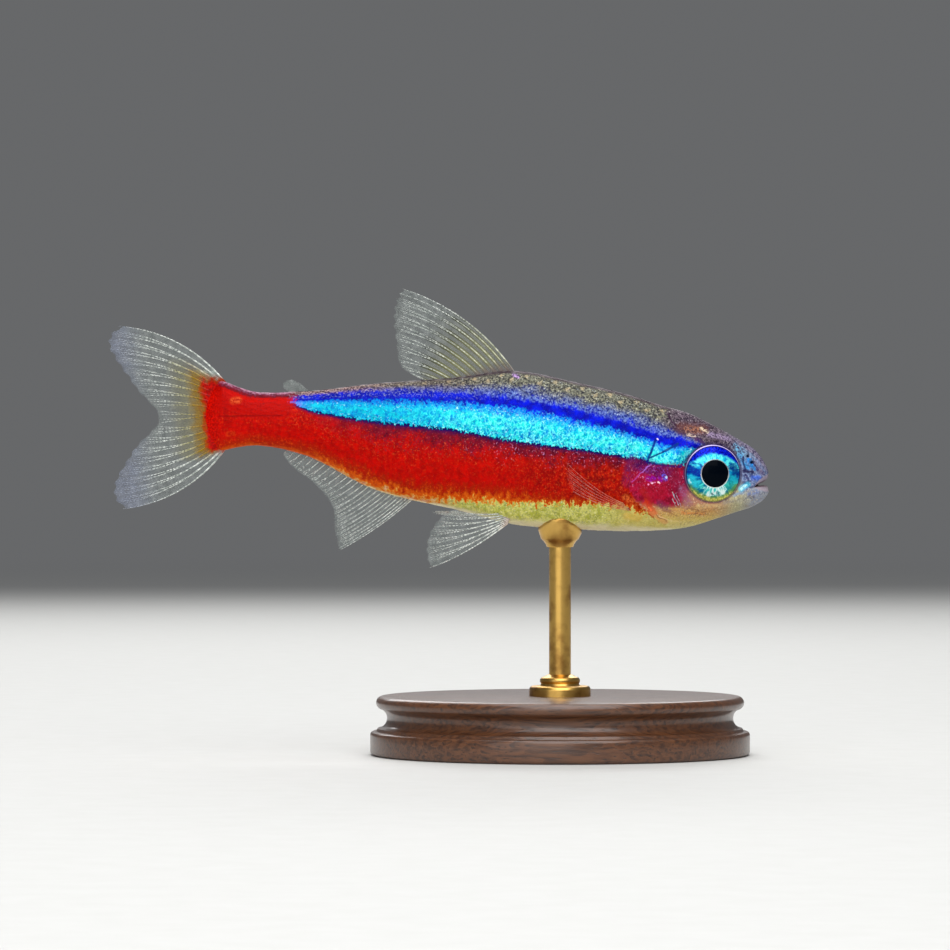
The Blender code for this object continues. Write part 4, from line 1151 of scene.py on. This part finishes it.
def web_points(place, rays, crowd, normal, root_half, tip_half):
    """Two like grids either side of the fin's surface, with pleats and a scalloped edge.

    Between two rays the edge draws in by 2 % and the web sinks to one side and the
    other by turns, both as the square of a sine. The outer corners are rounded off.
    """
    ray = np.linspace(0, rays - 1, WEB_STEPS * (rays - 1) + 1)[:, None]
    between = np.sin(math.pi * ray) ** 2
    pleat = np.where(np.floor(ray) % 2 > 0, 1, -1) * between
    edge = np.minimum(ray, rays - 1 - ray) / (rays - 1)
    trim = EDGE_DIP * between + CORNER_TRIM * np.maximum(0, 1 - edge / CORNER_SHARE) ** 2
    t = np.linspace(0, 1, WEB_ROWS)[None, :] * (1 - trim)
    half = root_half + (tip_half - root_half) * soft_step(2.5 * t)
    fraction = ray_fraction(ray, rays, crowd)
    middle = place(fraction, t) + (PLEAT_DEPTH * pleat * t)[..., None] * normal
    offset = half[..., None] * normal
    values = zip(("out", "side", "between"), np.broadcast_arrays(t, ray / (rays - 1), between))
    values = {name: np.stack((value, value)) for name, value in values}
    return np.stack((middle + offset, middle - offset)), values, len(ray)


def strands(rays, splits, whole, seed):
    """One row for each strand: ray, start and end on the way out, both splits, and its leans.

    Branches and twigs start at a split and end a little short of the edge.
    """
    dice = np.random.default_rng(seed)
    rows = []
    for ray in range(rays):
        first, second = np.array(splits) + dice.uniform(-0.06, 0.06, 2)
        if ray in whole:
            rows.append((ray, 0.0, 1.0, first, second, 0, 0))
            continue
        rows.append((ray, 0.0, first + 0.03, first, second, 0, 0))
        for lean in (-1, 1):
            rows.append((ray, first, second + 0.02, first, second, lean, 0))
            rows += [(ray, second, dice.uniform(0.93, 0.985), first, second, lean, twig)
                     for twig in (-1, 1)]
    return np.array(rows)


def ray_tubes(place, rays, crowd, rows, normal, root_radius, tip_radius):
    """Tubes along every strand, a little wider across the web than along it.

    A strand's fraction leans away from its ray's by a share of the gap to the next ray,
    growing from the split on. The radius falls from root to tip and at each split, and
    the last tenth thins to four tenths of that radius.
    """
    ray, start, end, first, second, lean, twig = rows.T[:, :, None]
    t = start + (end - start) * np.linspace(0, 1, TUBE_ROWS)[None, :]
    spread = BRANCH_LEAN * lean * np.clip((t - first) / (1 - first), 0, 1) ** 0.8
    spread = spread + TWIG_LEAN * twig * np.clip((t - second) / (1 - second), 0, 1) ** 0.8
    fraction = ray_fraction(np.clip(ray + spread, 0, rays - 1), rays, crowd)
    path = place(fraction, t)
    tangent = unit(np.gradient(path, axis=1))
    across = unit(np.cross(tangent, normal))
    radius = root_radius + (tip_radius - root_radius) * t ** 0.7
    radius = radius * SPLIT_THINNING ** (np.abs(lean) + np.abs(twig))
    radius = radius * (1 - TIP_THINNING * soft_step((t - TIP_FROM) / (1 - TIP_FROM)))
    turn = 2 * math.pi * np.arange(TUBE_SIDES) / TUBE_SIDES
    ring = (np.cos(turn)[:, None] * across[:, :, None, :]
            + TUBE_FLATNESS * np.sin(turn)[:, None] * np.broadcast_to(normal, across.shape)[:, :, None, :])
    points = path[:, :, None, :] + radius[..., None, None] * ring
    steps = np.linalg.norm(np.diff(path, axis=1), axis=2)
    run = np.concatenate((np.zeros((len(rows), 1)), np.cumsum(steps, axis=1)), axis=1)
    run = run + np.random.default_rng(len(rows)).uniform(0, 1, (len(rows), 1))
    values = [run, t, np.broadcast_to(ray / (rays - 1), t.shape)]
    values = [np.broadcast_to(value[..., None], points.shape[:3]) for value in values]
    return points, dict(zip(("run", "out", "side"), values))


def tube_faces(copies):
    """Squares along each tube and a flat cap at both ends."""
    each = TUBE_ROWS * TUBE_SIDES
    wall = repeat_faces(squares(TUBE_ROWS, TUBE_SIDES, wrap=True), each, copies)
    side = np.arange(TUBE_SIDES)
    ends = np.stack((side[::-1], side + each - TUBE_SIDES))
    return [wall, repeat_faces(ends, each, copies)]


# %% [markdown]
# Web and rays get their own finishes. The web is nearly clear, a little milky at the
# root and along the edge. The rays are pale and slightly glassy, with joints as fine
# darker gaps every quarter of a millimetre. Each fin tints them in its own way, so the
# finishes are made by functions that take the tint as one more function.

# %% Finishes of the fins
JOINT_LENGTH = 0.24


def ray_finish(name, tint, flesh, joints=0.5, strength=0.85):
    """Pale rays with joints: a wave along the run darkens and thins them in the outer part."""
    def sockets(w):
        run, out, place = w.value("run"), w.value("out"), millimetres(w)
        grain = place.noise(5.0)
        wave = w.math("SINE", run * (2 * math.pi / JOINT_LENGTH) + 4.0 * grain)
        gap = wave.step(0.35, 0.95) * out.step(0.15, 0.6)
        pale = grain.step(0.35, 0.65).mix((168, 176, 170), (246, 250, 244))
        colour = (gap * joints).mix(tint(pale, place, out), (84, 92, 88))
        alpha = (strength - 0.25 * out) * (1 - 0.5 * gap) * (0.5 + 0.9 * grain) + flesh(place, out)
        return {"Base Color": colour, "Roughness": 0.3, "Alpha": alpha.clamp(),
                "Specular IOR Level": 0.2}
    return principled(name, sockets)


def web_finish(name, tint, flesh, strength=0.12, shade=0.0):
    """Clear skin: milky noise, flesh where the fin leaves the body, shade beside the rays."""
    def sockets(w):
        out, between, place = w.value("out"), w.value("between"), millimetres(w)
        grain = place.noise(2.2, 3.0)
        beside = between.step(0.04, 0.16) * between.step(0.65, 0.25) * (
            out + 0.5 * (grain - 0.5)).step(0.9, 0.3) * shade
        alpha = strength * (0.5 + grain) + flesh(place, out) + beside
        milk = grain.step(0.3, 0.8).mix((140, 152, 146), (196, 204, 200))
        milk = beside.step(0.0, 0.5).mix(milk, (24, 30, 34))
        return {"Base Color": tint(milk, place, out), "Roughness": 0.3, "Alpha": alpha.clamp(),
                "Specular IOR Level": 0.06}
    return principled(name, sockets)


def root_flesh(place, out):
    """Opaque only at the very root."""
    return 0.5 * out.step(0.13, 0.0)


def no_flesh(place, out):
    """Clear to the root."""
    return 0.0


def clear_tint(colour, place, out):
    """No tint, apart from a warm root."""
    return (out.step(0.14, 0.0) * 0.6).mix(colour, (188, 150, 136))


def dorsal_tint(colour, place, out):
    """A breath of yellow-green in the lower half, mauve at the root."""
    return colour.coats((out.step(0.75, 0.2) * 0.35, (190, 190, 122)),
                        (out.step(0.16, 0.05) * 0.7, (110, 92, 104)))


def tail_place(place):
    """The place along the body with a ragged edge, a little further back in the upper lobe."""
    x = place.split()
    return x + 0.9 * (place.noise(2.2) - 0.5) + 0.1 * (x.also(2) - 23.0)


def tail_height(place, low, high):
    """1 between two heights, with ragged edges."""
    z = place.split().also(2) + 0.9 * (place.noise(3.0) - 0.5)
    return z.step(low - 0.3, low + 0.2) * z.step(high + 0.3, high - 0.2)


def tail_flesh(place, out):
    """The red flesh reaches out between the rays, and a thin haze lies on both tips."""
    x = tail_place(place)
    haze = 0.12 * x.step(-27.5, -30.0) * place.noise(1.6).step(0.25, 0.75)
    return haze + 0.95 * x.step(-24.6, -24.05) * tail_height(place, 20.9, 25.4) + (
        0.42 * x.step(-25.7, -24.4) * tail_height(place, 20.6, 26.2))


def tail_tint(colour, place, out):
    """Red at the base, then orange and yellow, then clear; the outermost rays stay pale."""
    x, side = tail_place(place), out.value("side")
    inner = side.step(0.04, 0.22) * side.step(0.96, 0.8)
    wide = tail_height(place, 20.3, 27.2) * inner
    red = place.noise(9.0).step(0.35, 0.65).mix((140, 3, 0), (190, 8, 0))
    return colour.coats(
        (x.step(-27.5, -30.0) * 0.6, (136, 144, 184)),
        (x.step(-27.0, -25.6) * wide * 0.7, (160, 150, 50)),
        (x.step(-25.6, -24.8) * wide, (150, 116, 2)),
        (x.step(-24.75, -24.2) * tail_height(place, 20.7, 25.8), (160, 60, 2)),
        (x.step(-24.5, -24.05) * tail_height(place, 20.9, 25.5), red))


def breast_tint(colour, place, out):
    """Pink, and tan at the root."""
    pink = out.step(0.35, 0.05).mix((214, 78, 60), (226, 168, 112))
    return (0.8 + 0.15 * out.step(0.7, 0.0)).mix(colour, pink)


FIN_FINISHES = {
    name: (ray_finish(f"{name}_rays", tint, flesh, *of_rays),
           web_finish(f"{name}_web", tint, flesh, *of_web))
    for name, tint, flesh, of_rays, of_web in (
        ("clear", clear_tint, root_flesh, (), ()),
        ("dorsal", dorsal_tint, root_flesh, (), (0.12, 0.9)),
        ("tail", tail_tint, tail_flesh, (), ()),
        ("breast", breast_tint, no_flesh, (0.0, 0.75), (0.02,)))}

# %% [markdown]
# The fins in the middle of the body stand in its plane of symmetry. Their roots are sunk
# into the flesh, and the edge of each is a smooth line through a few points. The
# leading rays of the back and anal fins are short and whole, and so are the small rays
# above and below the tail.

# %% Make the back, anal and tail fins
ROOT_SUNK = 0.35
ACROSS = (0, 1, 0)
BACK_MARGIN = [(-10.82, 31.90), (-11.22, 31.10), (-11.20, 28.00), (-10.95, 26.65), (-10.15, 26.00)]
VENT_MARGIN = [(-15.15, 13.95), (-15.45, 15.40), (-15.55, 16.80), (-17.12, 18.79),
               (-18.35, 19.70), (-19.00, 20.55)]
TAIL_MARGIN = [(-30.20, 29.32), (-30.78, 28.75), (-29.25, 25.35), (-27.50, 23.00),
               (-29.25, 20.80), (-30.48, 17.55), (-29.95, 16.80)]


def add_fin(name, node, place, rays, crowd, normal, sizes, splits, whole, finish, seed):
    """Web and rays of one fin. sizes are ray radius at root and tip, web half at root and tip."""
    ray_material, web_material = FIN_FINISHES[finish]
    normal = np.array(normal, dtype=float)
    points, values, columns = web_points(place, rays, crowd, normal, sizes[2], sizes[3])
    add_piece(f"{name}_web", [node], points, [plate_faces(columns, WEB_ROWS)],
              web_material, values)
    rows = strands(rays, splits, whole, seed)
    tubes, values = ray_tubes(place, rays, crowd, rows, normal, sizes[0], sizes[1])
    add_piece(f"{name}_rays", [node], tubes, tube_faces(len(rows)), ray_material, values)


def median_fan(root_x, heights, margin, bow):
    """A fin from the outline of the body, or from a straight root, to its margin."""
    def root_at(fraction):
        x = root_x[0] + fraction * (root_x[1] - root_x[0])
        return np.stack((x, np.zeros_like(x), heights(x, fraction)), axis=-1)

    def tip_at(fraction):
        tip = along(margin, fraction)
        return np.stack((tip[..., 0], np.zeros_like(fraction), tip[..., 1]), axis=-1)

    def bow_at(fraction):
        chord = tip_at(fraction) - root_at(fraction)
        across = np.stack((chord[..., 2], np.zeros_like(fraction), -chord[..., 0]), axis=-1)
        return bow(fraction)[..., None] * unit(across)

    return fan(root_at, tip_at, bow_at)


back_line, belly_line = contour(0.0), contour(math.pi)
back_fan = median_fan((-2.95, -8.45), lambda x, f: np.interp(x, *back_line) - ROOT_SUNK,
                      BACK_MARGIN, lambda f: 0.88 * (1 - f))
vent_fan = median_fan((-9.86, -18.30), lambda x, f: np.interp(x, *belly_line) + ROOT_SUNK,
                      VENT_MARGIN, lambda f: -0.22 * (1 - f))
tail_fan = median_fan((-22.8, -22.8), lambda x, f: 25.30 - 4.2 * f,
                      TAIL_MARGIN, lambda f: 0.92 * (1 - 2 * f))
add_fin("back_fin", "dorsal_fin", back_fan, 11, "front", ACROSS, (0.070, 0.022, 0.08, 0.014),
        (0.42, 0.70), (0, 1), "dorsal", 1)
add_fin("vent_fin", "anal_fin", vent_fan, 26, "front", ACROSS, (0.044, 0.017, 0.08, 0.014),
        (0.55, 0.80), (0, 1), "clear", 2)
add_fin("tail_fin", "caudal_fin", tail_fan, 19, "edges", ACROSS, (0.074, 0.020, 0.10, 0.013),
        (0.34, 0.62), (0, 18), "tail", 3)

# %% [markdown]
# The paired fins fan out from a short root on the flank. The breast fins lie back along
# the body with a lift, and the belly fins point down and out. Each is set by its first
# and its last ray: length, angle below straight back, and angle out from the body. The
# width of the skin at the root tells where it starts.

# %% Make the paired fins
ROOT_OUT, ROOT_IN = 0.60, 0.12      # where rays aim from, and where they start, by the skin


def ray_vector(ray, side):
    """A ray from its length and two angles: back and down, and out from the body."""
    length, down, out = ray[0], math.radians(ray[1]), math.radians(ray[2])
    return length * np.array((-math.cos(down) * math.cos(out), side * math.sin(out),
                              -math.sin(down) * math.cos(out)))


def flank_width(x, z):
    """Half the body's width at (x, z), from the nearest point of the skin's right side."""
    flank = skin_grid[:, :SKIN_COLUMNS // 2].reshape(-1, 3)
    nearest = np.argmin((flank[:, 0] - x) ** 2 + (flank[:, 2] - z) ** 2)
    return -flank[nearest, 1]


def paired_fan(side, root, root_width, lead, last, bow, taper):
    """Rays turn evenly from the first to the last. Roots lie just under the skin."""
    lead, last = ray_vector(lead, side), ray_vector(last, side)
    spread = unit(last - lead)
    width = flank_width(*root)
    outer = np.array((root[0], side * (width + ROOT_OUT), root[1]))
    inner = np.array((root[0] + 0.15, side * (width - ROOT_IN), root[1]))

    def root_at(fraction):
        return inner + ((fraction - 0.5) * root_width)[..., None] * spread

    def tip_at(fraction):
        heading = unit(unit(lead) + fraction[..., None] * (unit(last) - unit(lead)))
        longest, shortest = np.linalg.norm(lead), np.linalg.norm(last)
        reach = longest + (shortest - longest) * fraction ** taper
        foot = outer + ((fraction - 0.5) * root_width)[..., None] * spread
        return foot + reach[..., None] * heading

    def bow_at(fraction):
        return (bow * (1 - 0.4 * fraction))[..., None] * spread

    return fan(root_at, tip_at, bow_at), unit(np.cross(lead, last))


# root x and z, its width, first and last ray, how far the rays bow, and how they shorten
BREAST = ((4.55, 16.90), 0.35, (5.45, -35.0, 19.0), (4.60, -19.0, 25.0), 0.45, 1.5)
BELLY = {"right": ((-3.60, 16.20), 0.85, (6.20, 30.0, 17.0), (4.05, -3.0, 12.0), -0.42, 2.2),
         "left": ((-3.60, 16.20), 0.85, (6.00, -3.0, 36.0), (4.05, -6.0, 10.0), -0.30, 2.2)}
for side, word in ((1, "left"), (-1, "right")):
    place, normal = paired_fan(side, *BREAST)
    add_fin(f"breast_fin_{word}", f"pectoral_fin_{word}", place, 6, "even", normal,
            (0.030, 0.018, 0.04, 0.010), (0.45, 0.85), (0,), "breast", 4)
    place, normal = paired_fan(side, *BELLY[word])
    add_fin(f"belly_fin_{word}", f"pelvic_fin_{word}", place, 8, "even", normal,
            (0.060, 0.022, 0.06, 0.012), (0.32, 0.60), (0,), "clear", 5)

# %% [markdown]
# The adipose fin is the little fleshy lobe in front of the tail stalk. It has no rays,
# so it is only a web, thicker and milkier than the others.

# %% Make the adipose fin
lobe = median_fan((-17.00, -18.15), lambda x, f: np.interp(x, *back_line) - 0.25,
                  [(-17.75, 25.38), (-18.50, 25.66), (-18.95, 25.40), (-18.98, 25.10)],
                  lambda f: 0.0 * f)
points, values, columns = web_points(lobe, 6, "even", np.array(ACROSS, dtype=float), 0.20, 0.04)
add_piece("fat_fin", ["adipose_fin"], points, [plate_faces(columns, WEB_ROWS)],
          web_finish("fat_web", clear_tint, root_flesh, 0.15), values)

# %% [markdown]
# The stand is turned work: a base of dark wood with a bead and a cove, and a brass
# collar, rod and cup. A lathe sweeps a profile round an axis, and so does the function
# below. The profiles are short lists of radius and height, and a moulding is an arc.
# The cup's face is not level: it follows the belly that rests in it.

# %% Turn the stand
def turned(name, node, profile, finish, sides=128, sharp=35):
    """Radius and height swept round the Z axis: x = r cos a, y = r sin a."""
    radius, height = np.array(profile, dtype=float).T
    around = 2 * math.pi * np.arange(sides) / sides
    ring = np.stack((radius[:, None] * np.cos(around), radius[:, None] * np.sin(around),
                     np.repeat(height[:, None], sides, axis=1)), axis=-1)
    points = np.concatenate((ring.reshape(-1, 3), [(0, 0, height[0]), (0, 0, height[-1])]))
    faces = [squares(len(profile), sides, wrap=True),
             end_caps(len(profile), sides, len(points) - 2)]
    add_piece(name, [node], points, faces, finish, sharp=sharp)


def arc(middle, radius, start, end, count=8):
    """Points on an arc of a moulding, from one angle in degrees to the other."""
    turn = np.radians(np.linspace(start, end, count))
    return [(middle[0] + radius * math.cos(a), middle[1] + radius * math.sin(a)) for a in turn]


def wood_sockets(w):
    """Dark walnut: rings of the trunk seen on a plank, pores along the grain, satin varnish."""
    place = millimetres(w)
    wave = w.math("FRACT", place.noise((0.035, 0.42, 0.42), 3.0) * 13.0)
    grain = place.noise((0.35, 5.0, 5.0), 3.0)
    pores = place.noise((0.9, 9.0, 9.0), 1.0).step(0.60, 0.72)
    colour = wave.step(0.0, 0.9).mix((92, 54, 30), (58, 32, 18)).coats(
        (grain.step(0.35, 0.7) * 0.55, (112, 70, 40)),
        (pores * 0.7, (30, 16, 9)))
    return {"Base Color": colour, "Roughness": 0.34 + 0.12 * grain, "Coat Weight": 0.5,
            "Coat Roughness": 0.14, "Normal": (grain - pores).bump(0.4, 0.04)}


def brass_sockets(w):
    """Turned brass: fine rings from the lathe and a slight brown bloom."""
    place = millimetres(w)
    lines = place.noise((0.6, 0.6, 26.0))
    bloom = place.noise(0.8, 3.0)
    colour = bloom.step(0.42, 0.75).mix((214, 172, 92), (158, 116, 58))
    return {"Base Color": colour, "Metallic": 1.0, "Roughness": 0.22 + 0.2 * bloom,
            "Normal": lines.bump(0.25, 0.02)}


WOOD_FINISH = principled("walnut", wood_sockets)
BRASS_FINISH = principled("turned_brass", brass_sockets)
FOOT_RADIUS, ROUNDING = 12.75, 0.25
base_profile = [(0.3, 0.0), (FOOT_RADIUS, 0.0)] + arc((FOOT_RADIUS, 0.25), ROUNDING, -80, 0, 5)
base_profile += arc((FOOT_RADIUS, 1.35), ROUNDING, 0, 90, 6) + [(12.58, 1.62)]
base_profile += arc((12.55, 2.50), 0.70, 265, 125, 14)
base_profile += arc((12.15, 3.55), 0.45, -60, 90, 10) + [(0.3, 4.0)]
collar_profile = [(0.3, 3.9), (2.1, 3.9), (2.1, 4.45)] + arc((1.85, 4.45), 0.25, 0, 90, 5)
collar_profile += [(1.35, 4.72), (1.30, 4.85)] + arc((1.12, 5.05), 0.26, -40, 90, 7)
collar_profile += [(0.86, 5.45), (0.3, 5.6)]
rod_profile = [(0.2, 4.2), (0.75, 4.2), (0.75, 14.35), (0.2, 14.35)]
turned("stand_base_wood", "stand_base", base_profile, WOOD_FINISH)
turned("stand_collar_brass", "stand_collar", collar_profile, BRASS_FINISH)
turned("stand_rod_brass", "stand_rod", rod_profile, BRASS_FINISH, 48)


def belly_face(x, y):
    """Height of the belly over (x, y): the nearest of the skin's lower points in plan."""
    low = skin_grid[:, SKIN_COLUMNS * 3 // 8:SKIN_COLUMNS * 5 // 8].reshape(-1, 3)
    gap = (low[:, 0] - x.reshape(-1, 1)) ** 2 + (low[:, 1] - y.reshape(-1, 1)) ** 2
    return low[np.argmin(gap, axis=1), 2].reshape(x.shape)


CUP_OUTSIDE = [(0.3, 14.2), (0.9, 14.2), (0.98, 14.4), (1.12, 14.6), (1.3, 14.78)]
# radius and depth under the belly, over the rim and in over the face
CUP_FACE = [(1.47, 0.28), (1.5, 0.14), (1.47, 0.02), (1.2, -0.02), (0.7, -0.02), (0.25, -0.02)]


def add_cup(sides=64):
    """A cup under the belly: its outside flares out, and its face lies on the belly."""
    around = 2 * math.pi * np.arange(sides) / sides
    rows = [(r * np.cos(around), r * np.sin(around), np.full(sides, z)) for r, z in CUP_OUTSIDE]
    for radius, drop in CUP_FACE:
        x, y = radius * np.cos(around), radius * np.sin(around)
        rows.append((x, y, belly_face(x, y) - drop))
    ring = np.array(rows).transpose(0, 2, 1)
    points = np.concatenate((ring.reshape(-1, 3), ring[[0, -1]].mean(axis=1)))
    add_piece("stand_saddle_brass", ["stand_saddle"], points,
              [squares(len(rows), sides, wrap=True), end_caps(len(rows), sides, len(points) - 2)],
              BRASS_FINISH, sharp=50)


add_cup()

# %% [markdown]
# The floor is a wide pale disc. Towards its edge it fades into the colour of the world,
# which softens the horizon in the picture. A curved backdrop would hide it altogether
# for one camera, but it would stand in the way of the others.

# %% Floor and world
BACKDROP = (0.135, 0.138, 0.142, 1.0)
FLOOR_SIDES, FLOOR_DROP = 96, -0.02
FADE_FROM, FADE_TO = 180.0, 900.0


def floor_shader(w):
    """Pale paper near the model, the plain colour of the backdrop far away."""
    place = millimetres(w)
    away = place.vector("MULTIPLY", (1.0, 1.0, 0.0)).vector("LENGTH", output="Value")
    pale = place.noise(0.4, 4.0).mix((196, 196, 193), (204, 204, 202))
    paper = w.node("BsdfPrincipled", {}, {"Base Color": pale, "Roughness": 0.7})
    distant = w.node("Emission", {}, {"Color": BACKDROP, "Strength": 1.0})
    return w.node("MixShader", {}, {0: away.step(FADE_FROM, FADE_TO), 1: paper, 2: distant})


def add_floor():
    """A disc of rings just under the base, wide enough to reach the horizon."""
    radius = np.concatenate(([1.0], np.geomspace(8, 4000, 24)))
    around = 2 * math.pi * np.arange(FLOOR_SIDES) / FLOOR_SIDES
    ring = np.stack((radius[:, None] * np.cos(around), radius[:, None] * np.sin(around),
                     np.full((len(radius), FLOOR_SIDES), FLOOR_DROP)), axis=-1)
    middle = [list(range(FLOOR_SIDES - 1, -1, -1))]
    mesh = bpy.data.meshes.new("floor")
    mesh.from_pydata((MM * ring.reshape(-1, 3)).tolist(), [],
                     squares(len(radius), FLOOR_SIDES, wrap=True).tolist() + middle)
    mesh.materials.append(material("pale_floor", floor_shader))
    floor = bpy.data.objects.new("floor", mesh)
    bpy.context.scene.collection.objects.link(floor)


add_floor()
world = bpy.data.worlds.new("studio")
world.use_nodes = True
world.node_tree.nodes["Background"].inputs["Color"].default_value = BACKDROP
bpy.context.scene.world = world

# %% [markdown]
# Soft boxes light the model from above on both sides, the largest on the camera's side,
# with a weaker one low in front so that the belly is not lost. The camera looks level
# along +Y at the right flank, from as far away as a long lens stands, so the outline is
# the photograph's.

# %% Lights and camera
def soft_box(name, place, target, size, power):
    """A square area light turned to a target; places in millimetres."""
    light = bpy.data.lights.new(name, "AREA")
    light.shape, light.size, light.energy = "SQUARE", MM * size, power
    box = bpy.data.objects.new(name, light)
    box.location = [MM * value for value in place]
    heading = np.array(target, dtype=float) - np.array(place, dtype=float)
    box.rotation_euler = (math.atan2(math.hypot(heading[0], heading[1]), -heading[2]), 0.0,
                          math.atan2(heading[1], heading[0]) - math.pi / 2)
    bpy.context.scene.collection.objects.link(box)


FISH_MIDDLE = (-6.0, 0.0, 20.0)
soft_box("key", (40, -300, 330), FISH_MIDDLE, 420, 1.75)
soft_box("low_front", (-140, -420, 20), FISH_MIDDLE, 420, 0.75)
soft_box("behind", (-40, 340, 280), FISH_MIDDLE, 320, 1.1)
soft_box("overhead", (0, 0, 420), FISH_MIDDLE, 320, 0.9)

LENS, SENSOR = 200.0, 36.0
VIEW_WIDTH = 65.07         # of the fish's plane, in millimetres
VIEW_X, VIEW_Z = -5.82, 19.13
camera = bpy.data.objects.new("camera", bpy.data.cameras.new("camera"))
camera.data.lens, camera.data.sensor_width = LENS, SENSOR
camera.location = (VIEW_X * MM, -VIEW_WIDTH * LENS / SENSOR * MM, VIEW_Z * MM)
camera.rotation_euler = (math.pi / 2, 0.0, 0.0)
camera.data.clip_start, camera.data.clip_end = 0.01, 20.0
bpy.context.scene.collection.objects.link(camera)
bpy.context.scene.camera = camera
bpy.context.scene.view_settings.view_transform = "Standard"
